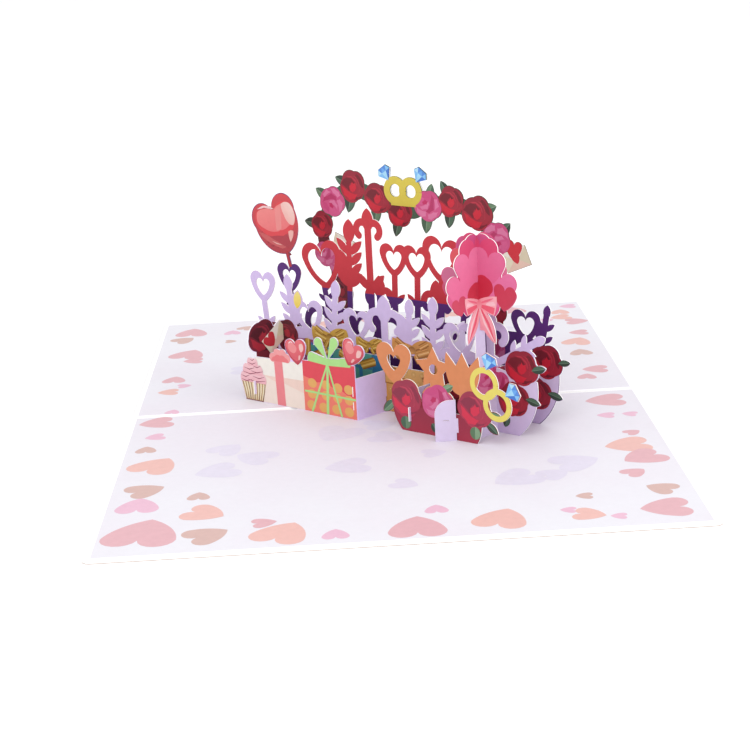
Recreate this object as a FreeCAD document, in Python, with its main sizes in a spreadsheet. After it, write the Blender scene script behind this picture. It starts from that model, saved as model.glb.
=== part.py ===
import FreeCAD, Part
import Sketcher
import math
import os

# Pop up card, opened flat: a folded cover with two glued liner pages, and a lattice of
# upright card sheets that slot into each other and fold away when the cover is closed.
# Origin at the centre of the fold, on the cover's underside. X runs along the fold,
# Y from the front page to the back page, Z up. Millimetres.

doc = FreeCAD.newDocument("PopUpCard")
sizes = doc.addObject("Spreadsheet::Sheet", "Sizes")

DIMENSIONS = [
    # Cover and pages
    ("card_length", 200),
    ("page_depth", 150),
    ("cover_thickness", 0.5),
    ("corner_radius", 3),
    ("score_width", 1.2),
    ("score_depth", 0.2),
    ("liner_thickness", 0.3),
    ("liner_margin", 1),
    ("fold_strip", 3),
    # Lattice of upright sheets
    ("sheet_thickness", 0.4),
    ("slot_clearance", 0.2),
    ("lattice_angle", 41),
    ("rank_pitch", 15.5),
    ("cross_pitch", 25.9),
    ("first_cross", 43.2),
    ("lap_height", 9),
    ("page_tab_width", 6),
    ("tongue_reach", 1.2),
    ("tongue_height", 5.4),
    ("tongue_lift", 3),
    # Gift sheet
    ("cupcake_width", 14),
    ("cupcake_height", 18),
    ("cream_gift_width", 25.4),
    ("cream_gift_height", 18.5),
    ("red_gift_width", 26.6),
    ("red_gift_height", 20.5),
    ("side_panel_height", 16.5),
    # Rose sheet
    ("rose_radius", 7.6),
    ("rose_band_height", 10),
    ("block_size", 14.5),
    ("block_lift", 25.5),
    ("ring_radius", 6.2),
    ("ring_band", 2.2),
    # Ornament sheets
    ("lavender_stroke", 3.4),
    ("violet_stroke", 3.2),
    ("red_stroke", 3.4),
    ("loop_radius", 7.4),
    ("loop_pitch", 12.6),
    ("gift_row_height", 22.5),
    ("arch_span", 66),
    ("arch_height", 77.5),
    ("arch_band", 10),
    # Cross sheets and bouquet
    ("cross_height", 16),
    ("bouquet_height", 74.5),
    ("bouquet_bunch", 26),
    ("bouquet_slot_height", 60),
    ("stem_width", 5),
    # Anchor tab
    ("anchor_width", 8.6),
    ("anchor_height", 15.5),
    ("anchor_reach", 52.6),
]
for row, (name, number) in enumerate(DIMENSIONS, start=1):
    sizes.set(f"A{row}", name)
    sizes.set(f"B{row}", str(number))
    sizes.setAlias(f"B{row}", name)
doc.recompute()


def value(expression):
    """Number that an expression over the sheet gives."""
    return float(sizes.evalExpression(expression))


def size(name):
    return value(f"Sizes.{name}")


# Plane outlines, in a sheet's own coordinates

def point(x, y):
    return FreeCAD.Vector(x, y, 0)


def segment(start, end, bulge=0):
    """Straight edge, or an arc that swells to the right of its run by bulge times its length."""
    if not bulge:
        return Part.LineSegment(point(*start), point(*end)).toShape()
    run_x, run_y = end[0] - start[0], end[1] - start[1]
    middle = ((start[0] + end[0]) / 2 + run_y * bulge, (start[1] + end[1]) / 2 - run_x * bulge)
    return Part.Arc(point(*start), point(*middle), point(*end)).toShape()


def outline(points, bulges=0):
    """Closed face through the points, counter-clockwise, with one bulge for each side."""
    if not isinstance(bulges, (list, tuple)):
        bulges = [bulges] * len(points)
    following = points[1:] + points[:1]
    edges = [segment(a, b, bulge) for a, b, bulge in zip(points, following, bulges)]
    return Part.Face(Part.Wire(edges))


def rectangle(left, bottom, right, top):
    return outline([(left, bottom), (right, bottom), (right, top), (left, top)])


def polar(centre, radius, angle):
    turn = math.radians(angle)
    return centre[0] + radius * math.cos(turn), centre[1] + radius * math.sin(turn)


def placed(points, centre, scale, lean):
    """Points of a motif of size 1, scaled, leaned to the left and moved to the centre."""
    cos, sin = math.cos(math.radians(lean)) * scale, math.sin(math.radians(lean)) * scale
    return [(centre[0] + x * cos - y * sin, centre[1] + x * sin + y * cos) for x, y in points]


def disc(centre, radius):
    return Part.Face(Part.Wire(Part.Circle(point(*centre), FreeCAD.Vector(0, 0, 1), radius).toShape()))


def ring(centre, radius, width):
    return disc(centre, radius).cut(disc(centre, radius - width))


def bar(start, end, width):
    """Straight stroke with round ends."""
    along = math.degrees(math.atan2(end[1] - start[1], end[0] - start[0]))
    right, left = along - 90, along + 90
    corners = [polar(start, width / 2, right), polar(end, width / 2, right),
               polar(end, width / 2, left), polar(start, width / 2, left)]
    return outline(corners, [0, 0.5, 0, 0.5])


def band(centre, radius, start, sweep, width):
    """Stroke along an arc, from the start angle through the sweep, with round ends."""
    low, high = sorted((start, start + sweep))
    middle = (low + high) / 2
    outer, inner = radius + width / 2, radius - width / 2

    def through(distance, first, second, last):
        return Part.Arc(point(*polar(centre, distance, first)), point(*polar(centre, distance, second)),
                        point(*polar(centre, distance, last))).toShape()

    def cap(angle, out, bend):
        tip = polar(polar(centre, radius, angle), width / 2, angle + bend)
        return Part.Arc(point(*polar(centre, outer if out else inner, angle)), point(*tip),
                        point(*polar(centre, inner if out else outer, angle))).toShape()

    return Part.Face(Part.Wire([through(outer, low, middle, high), cap(high, True, 90),
                                through(inner, high, middle, low), cap(low, False, -90)]))


def curl(centre, radius, start, turn, width, shrink=0.58):
    """Scroll of two arcs, the second smaller and inside the first. turn is 1 or -1."""
    half = 180 * turn
    inner = polar(centre, radius * (1 - shrink), start + half)
    return [band(centre, radius, start, half, width),
            band(inner, radius * shrink, start + half, half * 0.9, width)]


def rose(centre, radius, turn=0):
    """Five uneven petals round a bloom."""
    reach = [0.86, 0.8, 0.9, 0.82, 0.87]
    corners = [polar(centre, radius * share, turn + 72 * k) for k, share in enumerate(reach)]
    return outline(corners, [0.26, 0.2, 0.25, 0.22, 0.28])


def leaf(base, tip, fullness=0.24):
    return outline([base, tip], fullness)


SMALLEST_HOLE = 3

HEART = [(0, -0.52), (0.5, 0.12), (0, 0.26), (-0.5, 0.12)]
HEART_BULGES = [0.56, 0.56]


def heart(centre, scale, lean=0, side=0.1):
    return outline(placed(HEART, centre, scale, lean), [side, *HEART_BULGES, side])


def open_heart(centre, scale, width, lean=0):
    return heart(centre, scale, lean).cut(heart(centre, scale - 2.3 * width, lean))


def gem(tip, scale, lean=0):
    """Cut stone seen from the side, standing on its point."""
    stone = [(0, 0), (0.56, 0.62), (0.34, 0.95), (-0.34, 0.95), (-0.56, 0.62)]
    return outline(placed(stone, tip, scale, lean))


def envelope(centre, scale, lean=0):
    paper = [(-0.5, -0.33), (0.5, -0.33), (0.5, 0.33), (-0.5, 0.33)]
    return outline(placed(paper, centre, scale, lean))


def bow(knot, scale, lean=0):
    """Two looped ends and a knot."""
    right = [(0, -0.06), (0.42, -0.22), (0.5, 0.22), (0, 0.1)]
    left = [(0, -0.06), (0, 0.1), (-0.5, 0.22), (-0.42, -0.22)]
    return [outline(placed(right, knot, scale, lean), [0, 0.2, 0.14, 0]),
            outline(placed(left, knot, scale, lean), [0, 0.14, 0.2, 0]),
            disc(knot, scale * 0.11)]


def joined(shapes):
    """One face from overlapping faces. A cut sheet is a single piece of card, so they all meet.
    Gaps too small to punch out of card are closed."""
    blanks = [shape.extrude(FreeCAD.Vector(0, 0, 1)) for shape in shapes]
    whole = blanks[0].multiFuse(blanks[1:]).removeSplitter()
    if len(whole.Solids) != 1:
        raise RuntimeError(f"outline is in {len(whole.Solids)} pieces")
    face = next(side for side in whole.Faces if side.BoundBox.ZMax < 0.5)
    gaps = [Part.Face(wire) for wire in face.Wires if not wire.isSame(face.OuterWire)]
    return without(Part.Face(face.OuterWire), [gap for gap in gaps if gap.Area > SMALLEST_HOLE])


def without(face, cuts):
    if not cuts:
        return face
    rest = face.cut(cuts[0] if len(cuts) == 1 else cuts[0].multiFuse(cuts[1:]))
    if len(rest.Faces) != 1:
        raise RuntimeError(f"cut outline is in {len(rest.Faces)} pieces")
    return rest.Faces[0]


# Where the two families of sheets stand. A rank sheet runs to the front right, a cross
# sheet to the back right. Both are counted from the front left.

def rank_offset(rank):
    """Distance of a rank sheet's plane from the origin, towards the back."""
    return f"({rank} - 1.5) * Sizes.rank_pitch"


def cross_offset(cross):
    """Distance of a cross sheet's plane from the origin, towards the back left."""
    return f"(Sizes.first_cross - {cross} * Sizes.cross_pitch)"


def on_rank(rank, cross):
    """Place of a crossing along the rank sheet."""
    return value(f"(cos(2 * Sizes.lattice_angle) * {rank_offset(rank)} - {cross_offset(cross)})"
                 " / sin(2 * Sizes.lattice_angle)")


def on_cross(rank, cross):
    """Place of a crossing along the cross sheet."""
    return value(f"({rank_offset(rank)} - {cross_offset(cross)} * cos(2 * Sizes.lattice_angle))"
                 " / sin(2 * Sizes.lattice_angle)")


THICK = size("sheet_thickness")
CLEAR = size("slot_clearance")
SLOT = THICK / math.sin(math.radians(2 * size("lattice_angle"))) + CLEAR
LAP = size("lap_height")
ABOVE = size("arch_height") * 2


def slot_below(place):
    """Slot of a rank sheet, open at its foot."""
    return rectangle(place - SLOT / 2, -size("liner_thickness") * 2, place + SLOT / 2, LAP + CLEAR / 2)


def slot_above(place, foot=None):
    """Slot of a cross sheet, open at its top."""
    start = LAP - CLEAR / 2 if foot is None else foot
    return rectangle(place - SLOT / 2, start, place + SLOT / 2, ABOVE)


def window(place, lift):
    """Closed slot that a cross sheet's tongue passes through."""
    top = lift + size("tongue_height")
    return rectangle(place - SLOT / 2, lift - CLEAR / 2, place + SLOT / 2, top + CLEAR / 2)


def tongue(inside, outside, lift):
    return rectangle(min(inside, outside), lift, max(inside, outside), lift + size("tongue_height"))


def arch_middle():
    """Middle of the rose arch, along the last rank sheet."""
    return (on_rank(3, 0) + on_rank(3, 3)) / 2


def tab_places():
    """Page tabs of each upright sheet: its plane, its direction and places along it."""
    tab = size("page_tab_width")
    gift_left = on_rank(0, 2) - size("red_gift_width") - size("cream_gift_width")
    arch_leg = size("arch_span") / 2
    return {
        "gift_sheet": (rank_offset(0), -1, [gift_left + tab, on_rank(0, 2) - tab]),
        "rose_sheet": (rank_offset(0), -1, [on_rank(0, 3), on_rank(0, 4) - tab]),
        "lavender_sheet": (rank_offset(1), -1, [on_rank(1, 0) + tab, on_rank(1, 4) - 2 * tab]),
        "violet_sheet": (rank_offset(2), -1, [on_rank(2, 0) + tab, on_rank(2, 4) - 2 * tab]),
        "arch_sheet": (rank_offset(3), -1, [arch_middle() - arch_leg - tab * 0.55,
                                            arch_middle() + arch_leg - tab * 0.55]),
        "left_cross_sheet": (cross_offset(0), 1, [on_cross(1, 0) + tab, on_cross(3, 0) - tab / 2]),
        "inner_cross_sheet": (cross_offset(1), 1, [on_cross(3, 1) - tab]),
        "right_cross_sheet": (cross_offset(3), 1, [on_cross(1, 3) - tab, on_cross(3, 3) - tab]),
        "bouquet_cross_sheet": (cross_offset(4), 1, [on_cross(2, 4) + tab / 2]),
    }


def page_tabs(name):
    """Tabs under a sheet's foot. They go through slits in a liner and are glued beneath it."""
    half = size("page_tab_width") / 2
    return [rectangle(place - half, -size("liner_thickness"), place + half, LAP / 4)
            for place in tab_places()[name][2]]


# Sheets are pads of their outlines, as thick as the card they are cut from

def stand(thing, offset, direction):
    """Stand a sheet up on the page. direction is -1 for a rank sheet and 1 for a cross sheet."""
    angle = math.radians(size("lattice_angle"))
    along = FreeCAD.Vector(math.cos(angle), direction * math.sin(angle), 0)
    up = FreeCAD.Vector(0, 0, 1)
    thing.Placement.Rotation = FreeCAD.Rotation(along, up, along.cross(up), "XYZ")
    away_x = "sin" if direction < 0 else "-sin"
    thing.setExpression("Placement.Base.x", f"{away_x}(Sizes.lattice_angle) * {offset}")
    thing.setExpression("Placement.Base.y", f"cos(Sizes.lattice_angle) * {offset}")
    thing.setExpression("Placement.Base.z", "Sizes.cover_thickness + Sizes.liner_thickness")


def cut_card(name, face, thickness, centred=True):
    """A piece of card: its outline, and a pad of it bound to its thickness."""
    drawn = doc.addObject("Part::Feature", f"{name}_outline")
    drawn.Shape = face
    card = doc.addObject("Part::Extrusion", name)
    card.Label = name
    card.Base = drawn
    card.DirMode = "Custom"
    card.Dir = FreeCAD.Vector(0, 0, 1)
    card.Solid = True
    card.Symmetric = centred
    card.setExpression("LengthFwd", f"Sizes.{thickness}")
    return card


def upright(name, face, offset, direction):
    card = cut_card(name, face, "sheet_thickness")
    stand(card, offset, direction)
    return card


# Cover: one folded sheet with a scored fold

def plane_of(body, role):
    return next(item for item in body.Origin.OriginFeatures if item.Role == role)


def centred_rectangle(body, name, wide, deep, plane):
    sketch = body.newObject("Sketcher::SketchObject", name)
    sketch.AttachmentSupport = (plane, [""])
    sketch.MapMode = "FlatFace"
    corners = [(-10, -10), (10, -10), (10, 10), (-10, 10)]
    for here, there in zip(corners, corners[1:] + corners[:1]):
        sketch.addGeometry(Part.LineSegment(point(*here), point(*there)), False)
    for side in range(4):
        sketch.addConstraint(Sketcher.Constraint("Coincident", side, 2, (side + 1) % 4, 1))
    for side in (0, 2):
        sketch.addConstraint(Sketcher.Constraint("Horizontal", side))
    for side in (1, 3):
        sketch.addConstraint(Sketcher.Constraint("Vertical", side))
    sketch.addConstraint(Sketcher.Constraint("Symmetric", 0, 1, 2, 1, -1, 1))
    width = sketch.addConstraint(Sketcher.Constraint("DistanceX", 0, 1, 0, 2, 20))
    depth = sketch.addConstraint(Sketcher.Constraint("DistanceY", 1, 1, 1, 2, 20))
    sketch.setExpression(f"Constraints[{width}]", wide)
    sketch.setExpression(f"Constraints[{depth}]", deep)
    return sketch


def cover():
    body = doc.addObject("PartDesign::Body", "cover_card")
    body.Label = "cover_card"
    flat = centred_rectangle(body, "cover_outline", "Sizes.card_length", "2 * Sizes.page_depth",
                             plane_of(body, "XY_Plane"))
    board = body.newObject("PartDesign::Pad", "cover_board")
    board.Profile = flat
    board.setExpression("Length", "Sizes.cover_thickness")
    doc.recompute()
    score = centred_rectangle(body, "score_outline", "2 * Sizes.card_length", "Sizes.score_width",
                              plane_of(body, "XY_Plane"))
    score.setExpression("AttachmentOffset.Base.z", "Sizes.cover_thickness")
    groove = body.newObject("PartDesign::Pocket", "fold_score")
    groove.Profile = score
    groove.setExpression("Length", "Sizes.score_depth")
    doc.recompute()
    corners = [f"Edge{number}" for number, edge in enumerate(groove.Shape.Edges, start=1)
               if abs(edge.tangentAt(edge.FirstParameter).z) > 0.99
               and abs(abs(edge.CenterOfMass.y) - size("page_depth")) < 0.01]
    rounded = body.newObject("PartDesign::Fillet", "cover_corners")
    rounded.Base = (groove, corners)
    rounded.setExpression("Radius", "Sizes.corner_radius")
    body.Tip = rounded
    return body


def liner(name, side, slits):
    """Printed page glued on the cover. side is -1 for the front page and 1 for the back."""
    half = size("card_length") / 2 - size("liner_margin")
    near, far = size("fold_strip") / 2, size("page_depth") - size("liner_margin")
    low, high = sorted((side * near, side * far))
    page = rectangle(-half, low, half, high)
    card = cut_card(name, without(page, slits), "liner_thickness", centred=False)
    card.setExpression("Placement.Base.z", "Sizes.cover_thickness")
    return card


def page_point(offset, direction, place):
    """Point of the page under a place along a sheet."""
    angle = math.radians(size("lattice_angle"))
    away = value(offset)
    return (-direction * math.sin(angle) * away + math.cos(angle) * place,
            math.cos(angle) * away + direction * math.sin(angle) * place)


def slit(offset, direction, place):
    """Slit in a liner for a page tab."""
    centre = page_point(offset, direction, place)
    long, wide = size("page_tab_width") + CLEAR, THICK + CLEAR
    corners = [(-long / 2, -wide / 2), (long / 2, -wide / 2), (long / 2, wide / 2), (-long / 2, wide / 2)]
    return outline(placed(corners, centre, 1, direction * size("lattice_angle")))


# Gift sheet: cupcake and two gift boxes in front, with the red box's side folded back

def gift_front():
    fold = on_rank(0, 2)
    red_left = fold - size("red_gift_width")
    cream_left = red_left - size("cream_gift_width")
    cream_top, red_top = size("cream_gift_height"), size("red_gift_height")
    red_middle, cream_middle = (red_left + fold) / 2, (cream_left + red_left) / 2 + 0.9
    half, cup_top = size("cupcake_width") / 2, size("cupcake_height")
    cup = cream_left - size("cupcake_width") * 0.1
    wrapper = outline([(cup - half * 0.7, 0), (cup + half * 0.7, 0),
                       (cup + half, cup_top * 0.46), (cup - half, cup_top * 0.46)])
    swirl = [outline([(cup - half * share, cup_top * low), (cup + half * share, cup_top * low),
                      (cup + half * share * 0.8, cup_top * high),
                      (cup - half * share * 0.8, cup_top * high)], [0, 0.2, 0, 0.2])
             for share, low, high in ((0.98, 0.42, 0.66), (0.74, 0.6, 0.84), (0.36, 0.8, 0.98))]
    cream = outline([(cream_left, 0), (red_left + 1, 0), (red_left + 1, cream_top + 0.9),
                     (cream_left, cream_top)])
    red = outline([(red_left, 0), (fold, 0), (fold, red_top + 1.2), (red_left, red_top)])
    knot = (red_middle - 0.3, red_top + 1.4)
    green = [outline([knot, (knot[0] + dx + wide, knot[1] + dy - slope),
                      (knot[0] + dx - wide, knot[1] + dy + slope)], [0, 0.5, 0])
             for dx, dy, wide, slope in ((-4.2, 6.6, 1.9, -1), (3.9, 7.6, 1.9, 1))]
    green += [outline([(knot[0], knot[1] - 2.4), (knot[0], knot[1] + 0.9), (knot[0] - 7.6, knot[1] + 2.6),
                       (knot[0] - 9.8, knot[1] + 1), (knot[0] - 10, knot[1] - 1.6)], [0, 0, 0.2, 0.1, 0]),
              outline([(knot[0], knot[1] + 0.9), (knot[0], knot[1] - 2.4), (knot[0] + 11.6, knot[1] - 1.6),
                       (knot[0] + 10.6, knot[1] + 1.8), (knot[0] + 6, knot[1] + 1.6)], [0, 0, 0.3, 0.1, 0])]
    pink = [disc((cream_middle + dx, cream_top + dy), radius)
            for dx, dy, radius in ((-3.6, 1, 1.9), (-1.2, 2.8, 2), (1.6, 2.9, 2), (3.8, 1.4, 1.9))]
    front = joined([wrapper, *swirl, cream, red, *green, *pink,
                    heart((red_left - 2.9, cream_top + 4.9), 10.6, 6),
                    heart((fold - 1, red_top + 5.8), 10.6, -24),
                    *page_tabs("gift_sheet")])
    return without(front, [window(on_rank(0, 0), size("tongue_lift"))])


def gift_side():
    start, end = on_cross(0, 2), on_cross(1, 2)
    body = rectangle(start, 0, end - THICK - CLEAR, size("side_panel_height"))
    return joined([body, tongue(start, end + size("tongue_reach"), size("tongue_lift") + 3)])


def gift_sheet():
    front = cut_card("gift_front", gift_front(), "sheet_thickness")
    stand(front, rank_offset(0), -1)
    side = cut_card("gift_side", gift_side(), "sheet_thickness")
    stand(side, cross_offset(2), 1)
    whole = doc.addObject("Part::Fuse", "gift_sheet")
    whole.Label = "gift_sheet"
    whole.Base = front
    whole.Tool = side
    whole.Refine = True
    return whole


# Rose sheet: a row of roses with three cut blocks above it and two linked rings

def blocks(left):
    """Heart, star and tulip blocks on short stems."""
    wide, lift = size("block_size"), size("block_lift")
    first, second, third = left + wide / 2, left + wide * 1.77, left + wide * 2.68
    solid_heart = heart((first, lift), wide * 1.08).cut(heart((first, lift + 0.2), wide * 0.42))
    star = outline([polar((second, lift), wide * (0.58 if k % 2 == 0 else 0.31), 90 + 36 * k)
                    for k in range(10)]).cut(disc((second, lift), wide * 0.13))
    cup = [(-0.3, -0.5), (0.3, -0.5), (0.5, 0.52), (0.2, 0.2), (0, 0.56), (-0.2, 0.2), (-0.5, 0.52)]
    tulip = outline(placed(cup, (third, lift), wide * 0.98, 0), [0.15, 0.12, 0, 0, 0, 0, 0.12])
    stems = [bar((place, size("rose_band_height") / 2), (place, lift - wide * 0.28), wide * 0.24)
             for place in (first + 1.5, second, third)]
    return [solid_heart, star, tulip, *stems]


def rose_row():
    left, right = on_rank(0, 3) - 14.2, on_rank(0, 4) + 7
    radius, low = size("rose_radius") * 1.07, size("rose_band_height")
    ring_one = (right + 0.9, low + 13.2)
    ring_two = (right + 6.4, low + 6)
    round_ring, width = size("ring_radius"), size("ring_band")
    foot = outline([(left + 10, 0), (right - 2.9, 0), (right - 1, low), (left + 6, low)], [0, 0.1, 0, 0.1])
    row = joined([foot, rose((left + 12.2, low + 2.4), radius, 100), rose((left + 26.9, low + 3), radius, 40),
                  rose((right - 3.7, low + 3), radius, 10),
                  leaf((left + 7, low + 1), (left + 1.2, low - 4)),
                  leaf((left + 28.6, low + 7.5), (left + 34.6, low + 10.6)),
                  leaf((right + 1, low + 1), (right + 7.6, low + 2.4)),
                  leaf((right + 1, low - 1), (right + 6.5, low - 5)),
                  *blocks(left), ring(ring_one, round_ring, width), ring(ring_two, round_ring, width),
                  gem(polar(ring_one, round_ring - 0.8, 78), 6.4, -22),
                  gem(polar(ring_two, round_ring - 0.8, 48), 6.6, -62),
                  *page_tabs("rose_sheet")])
    return without(row, [window(on_rank(0, 3), size("tongue_lift") + 1),
                         anchor_window()])


# Lavender sheet: gift boxes below, scrolls and hearts above, roses at both ends

def fleur(middle, foot, top, spread, width):
    """Two curls that turn away from each other on one stem, with a pointed petal between them."""
    radius = spread / 4 - width / 8
    shoulder = top - radius - width / 2
    left = band((middle - radius, shoulder), radius, 0, 235, width * 0.9)
    right = band((middle + radius, shoulder), radius, 180, -235, width * 0.9)
    stem = bar((middle, shoulder + width * 0.2), (middle, foot), width)
    petal = leaf((middle, shoulder - 1), (middle, top + spread * 0.3), 0.3)
    shapes = [left, right, stem, petal]
    if shoulder - foot > spread:
        shapes += blades((middle, foot), (middle, shoulder), width)
    return shapes


def blades(foot, end, width, starts=(0.3,)):
    """Pairs of narrow leaves on a stem."""
    length = math.dist(foot, end)
    heading = math.degrees(math.atan2(end[1] - foot[1], end[0] - foot[0]))
    bases = [polar(foot, length * start, heading) for start in starts]
    return [leaf(base, polar(base, length * 0.19 + width, heading + side * 46), 0.19)
            for base in bases for side in (-1, 1)]


def sprig(foot, tip, width, pairs=3):
    """Stem with pairs of leaves and a leaf at its tip."""
    length = math.dist(foot, tip)
    heading = math.degrees(math.atan2(tip[1] - foot[1], tip[0] - foot[0]))
    starts = [0.28 + 0.46 * pair / pairs for pair in range(pairs)]
    return [bar(foot, polar(foot, length * 0.8, heading), width * 0.8),
            leaf(polar(foot, length * 0.74, heading), tip, 0.3),
            *blades(foot, tip, width * 0.5, starts)]


def stalked_heart(foot, centre, scale, width, lean=0):
    """Open heart on a stalk with two leaves."""
    neck = (centre[0], centre[1] - scale * 0.42)
    return [open_heart(centre, scale, width * 0.78, lean), bar(foot, neck, width * 0.85),
            *blades(foot, neck, width, (0.34,))]


def vine(start, end, count, width):
    """Row of leaves along a thin twig."""
    run, rise = (end[0] - start[0]) / count, (end[1] - start[1]) / count
    leaves = [leaf((start[0] + run * number, start[1] + rise * number),
                   (start[0] + run * (number + 1.15), start[1] + rise * number + side * width * 0.4), 0.2)
              for number in range(count) for side in (-1, 1)]
    return [bar(start, end, width), *leaves]


def lavender_outline():
    width, row = size("lavender_stroke"), size("gift_row_height")
    left, right = on_rank(1, 0) - 13, on_rank(1, 4) + 18
    floor = row + width
    boxes = [rectangle(left + 3, 0, on_rank(1, 0) + 16, row + 1.5),
             rectangle(on_rank(1, 0) + 14, 0, on_rank(1, 2), row - 0.6),
             rectangle(on_rank(1, 2) - 0.5, 0, on_rank(1, 3) - 2, row - 4),
             rectangle(on_rank(1, 3) - 3, 0, on_rank(1, 4) - 4, row)]
    posts = [bar((left + reach, row - 6), (left + reach, floor), width)
             for reach in (26, 52, 66, 91, 102)]
    tall, short = row + 27, row + 18.5
    scrolls = [*stalked_heart((left + 5.5, row - 2), (left + 3.8, row + 20.5), 13, width),
               *sprig((left + 20, row - 2), (left + 17, tall), width),
               open_heart((left + 27.6, floor + 7), 14.4, width * 0.72, 6),
               *sprig((left + 39.2, row - 3), (left + 42.6, tall), width),
               open_heart((left + 52, floor + 6.6), 13.4, width * 0.72, -4),
               *fleur(left + 66, floor, short, 17, width),
               *sprig((left + 77, row - 4), (left + 78.6, tall - 3.5), width),
               *sprig((left + 88.5, row - 4), (left + 89.8, tall - 1.5), width),
               open_heart((left + 101.5, floor + 6.8), 14, width * 0.72, 4),
               *fleur(left + 115.5, floor, short + 1, 15, width),
               *sprig((left + 119, floor + 1), (left + 139.5, floor + 12.5), width, 2)]
    inner = on_rank(1, 4) - 5
    panel = outline([(inner, 0), (right - 8.3, 0), (right, row - 1), (inner, row + 3)], [0, 0.13, 0, 0])
    roses = [rose((right - 6.6, row + 3.6), size("rose_radius") * 1.02, 20),
             rose((right - 10.6, row - 9), size("rose_radius"), 60),
             rose((left + 5.6, row - 1.6), size("rose_radius") * 1.24, 80),
             rose((left + 15, row + 2.6), size("rose_radius") * 0.86, 30),
             leaf((right - 2, row + 3), (right + 4, row + 4.6)),
             leaf((right - 5, row - 8), (right + 1.2, row - 9.5))]
    flame = leaf((left + 21.5, row + 12), (left + 22.5, row + 21), 0.3)
    bows = [*bow((left + 38, row + 3.6), 18), *bow((left + 58, row + 3), 13),
            *bow((left + 79, row + 3.6), 19)]
    base = vine((left + 17, floor), (on_rank(1, 4) + 1, floor + 1), 11, width * 0.7)
    whole = joined([*boxes, *posts, *base, *scrolls, panel, *roses, flame, *bows,
                    *page_tabs("lavender_sheet")])
    cuts = [slot_below(on_rank(1, cross)) for cross in (0, 1, 3, 4)]
    return without(whole, [*cuts, window(on_rank(1, 2), size("tongue_lift") + 3)])


# Violet sheet: violet scrolls below, red hearts and sprigs above, a balloon at the left

def violet_outline():
    width, red, row = size("violet_stroke"), size("red_stroke"), size("gift_row_height")
    left, right = on_rank(2, 0) - 15.5, on_rank(2, 4) + 15
    floor, tops = row + 9.5, size("arch_height") - 6
    panel = rectangle(left + 12, 0, on_rank(2, 4) - 2, row - 3)
    inner = on_rank(2, 4) - 8
    end_panel = outline([(inner, 0), (right - 9, 0), (right, row - 1), (inner, row + 2)], [0, 0.13, 0, 0])
    rail = bar((left + 14, floor), (on_rank(2, 4) - 1, floor + 1), width * 0.8)
    loop, pitch = size("loop_radius"), size("loop_pitch")
    loops = [ring((left + 19 + pitch * number, row + 4), loop, width) for number in range(9)]
    violet = [*stalked_heart((left + 8, row + 3), (left + 4.6, row + 21), 12.6, width),
              bar((left + 8, row + 4), (left + 16, 6), width),
              *fleur(left + 52, floor, floor + 13, 14, width),
              *fleur(left + 80, floor, floor + 14, 14, width),
              *sprig((left + 92, floor), (left + 94, floor + 16), width, 2),
              open_heart((left + 121, floor + 5), 12.6, width * 0.72),
              *sprig((left + 127, row + 3), (left + 131, floor + 14), width, 2)]
    ruby = [*stalked_heart((left + 25, floor), (left + 23.2, floor + 18.6), 20, red, 10),
            *sprig((left + 36.4, floor), (left + 38, tops - 1), red, 4),
            *fleur(left + 47.6, floor, tops, 13.5, red),
            *stalked_heart((left + 59.4, floor), (left + 60, floor + 24), 13.4, red),
            *stalked_heart((left + 70.4, floor), (left + 71.2, floor + 24.2), 13.4, red),
            *stalked_heart((left + 82, floor), (left + 83, floor + 26.4), 17.6, red, -6)]
    balloon = [heart((left - 0.2, row + 42.4), 24, 24, 0.19),
               bar((left + 4, row + 32.4), (left + 5.6, row + 26), 2)]
    roses = [rose((right - 5.6, row + 2), size("rose_radius"), 20),
             rose((right - 10, row - 11), size("rose_radius") * 0.95, 60),
             leaf((right, row + 2), (right + 5, row + 2.8)),
             leaf((right - 5, row - 10), (right + 1.4, row - 11.5))]
    whole = joined([panel, end_panel, rail, *loops, *violet, *ruby, *balloon, *roses,
                    *page_tabs("violet_sheet")])
    return without(whole, [slot_below(on_rank(2, cross)) for cross in (0, 1, 3, 4)])


# Arch sheet: two legs and a bow of roses with a pair of rings on its crown

# Roses of the bow from the left: place in shares of the span from the arch's middle, height in
# shares of the arch's height, radius in shares of a rose's, and turn
BLOOMS = [(-0.69, 0.66, 0.8, 10), (-0.705, 0.815, 0.84, 60), (-0.61, 0.945, 0.94, 35),
          (-0.44, 1.035, 0.97, 80), (-0.25, 0.985, 0.94, 0), (-0.08, 0.92, 0.88, 50),
          (0.135, 0.97, 0.94, 20), (0.305, 1, 0.9, 70), (0.49, 0.955, 1.03, 30), (0.617, 0.83, 1, 90)]


def arch_point(share, height):
    return arch_middle() + share * size("arch_span"), height * size("arch_height")


def arch_rings():
    """Centres of the two rings that cross over each other on the crown."""
    apart = size("ring_radius") * 0.62
    crown = arch_middle() - size("ring_radius") / 2
    return [(crown + side * apart, size("arch_height") + 2.6) for side in (-1, 1)]


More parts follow.
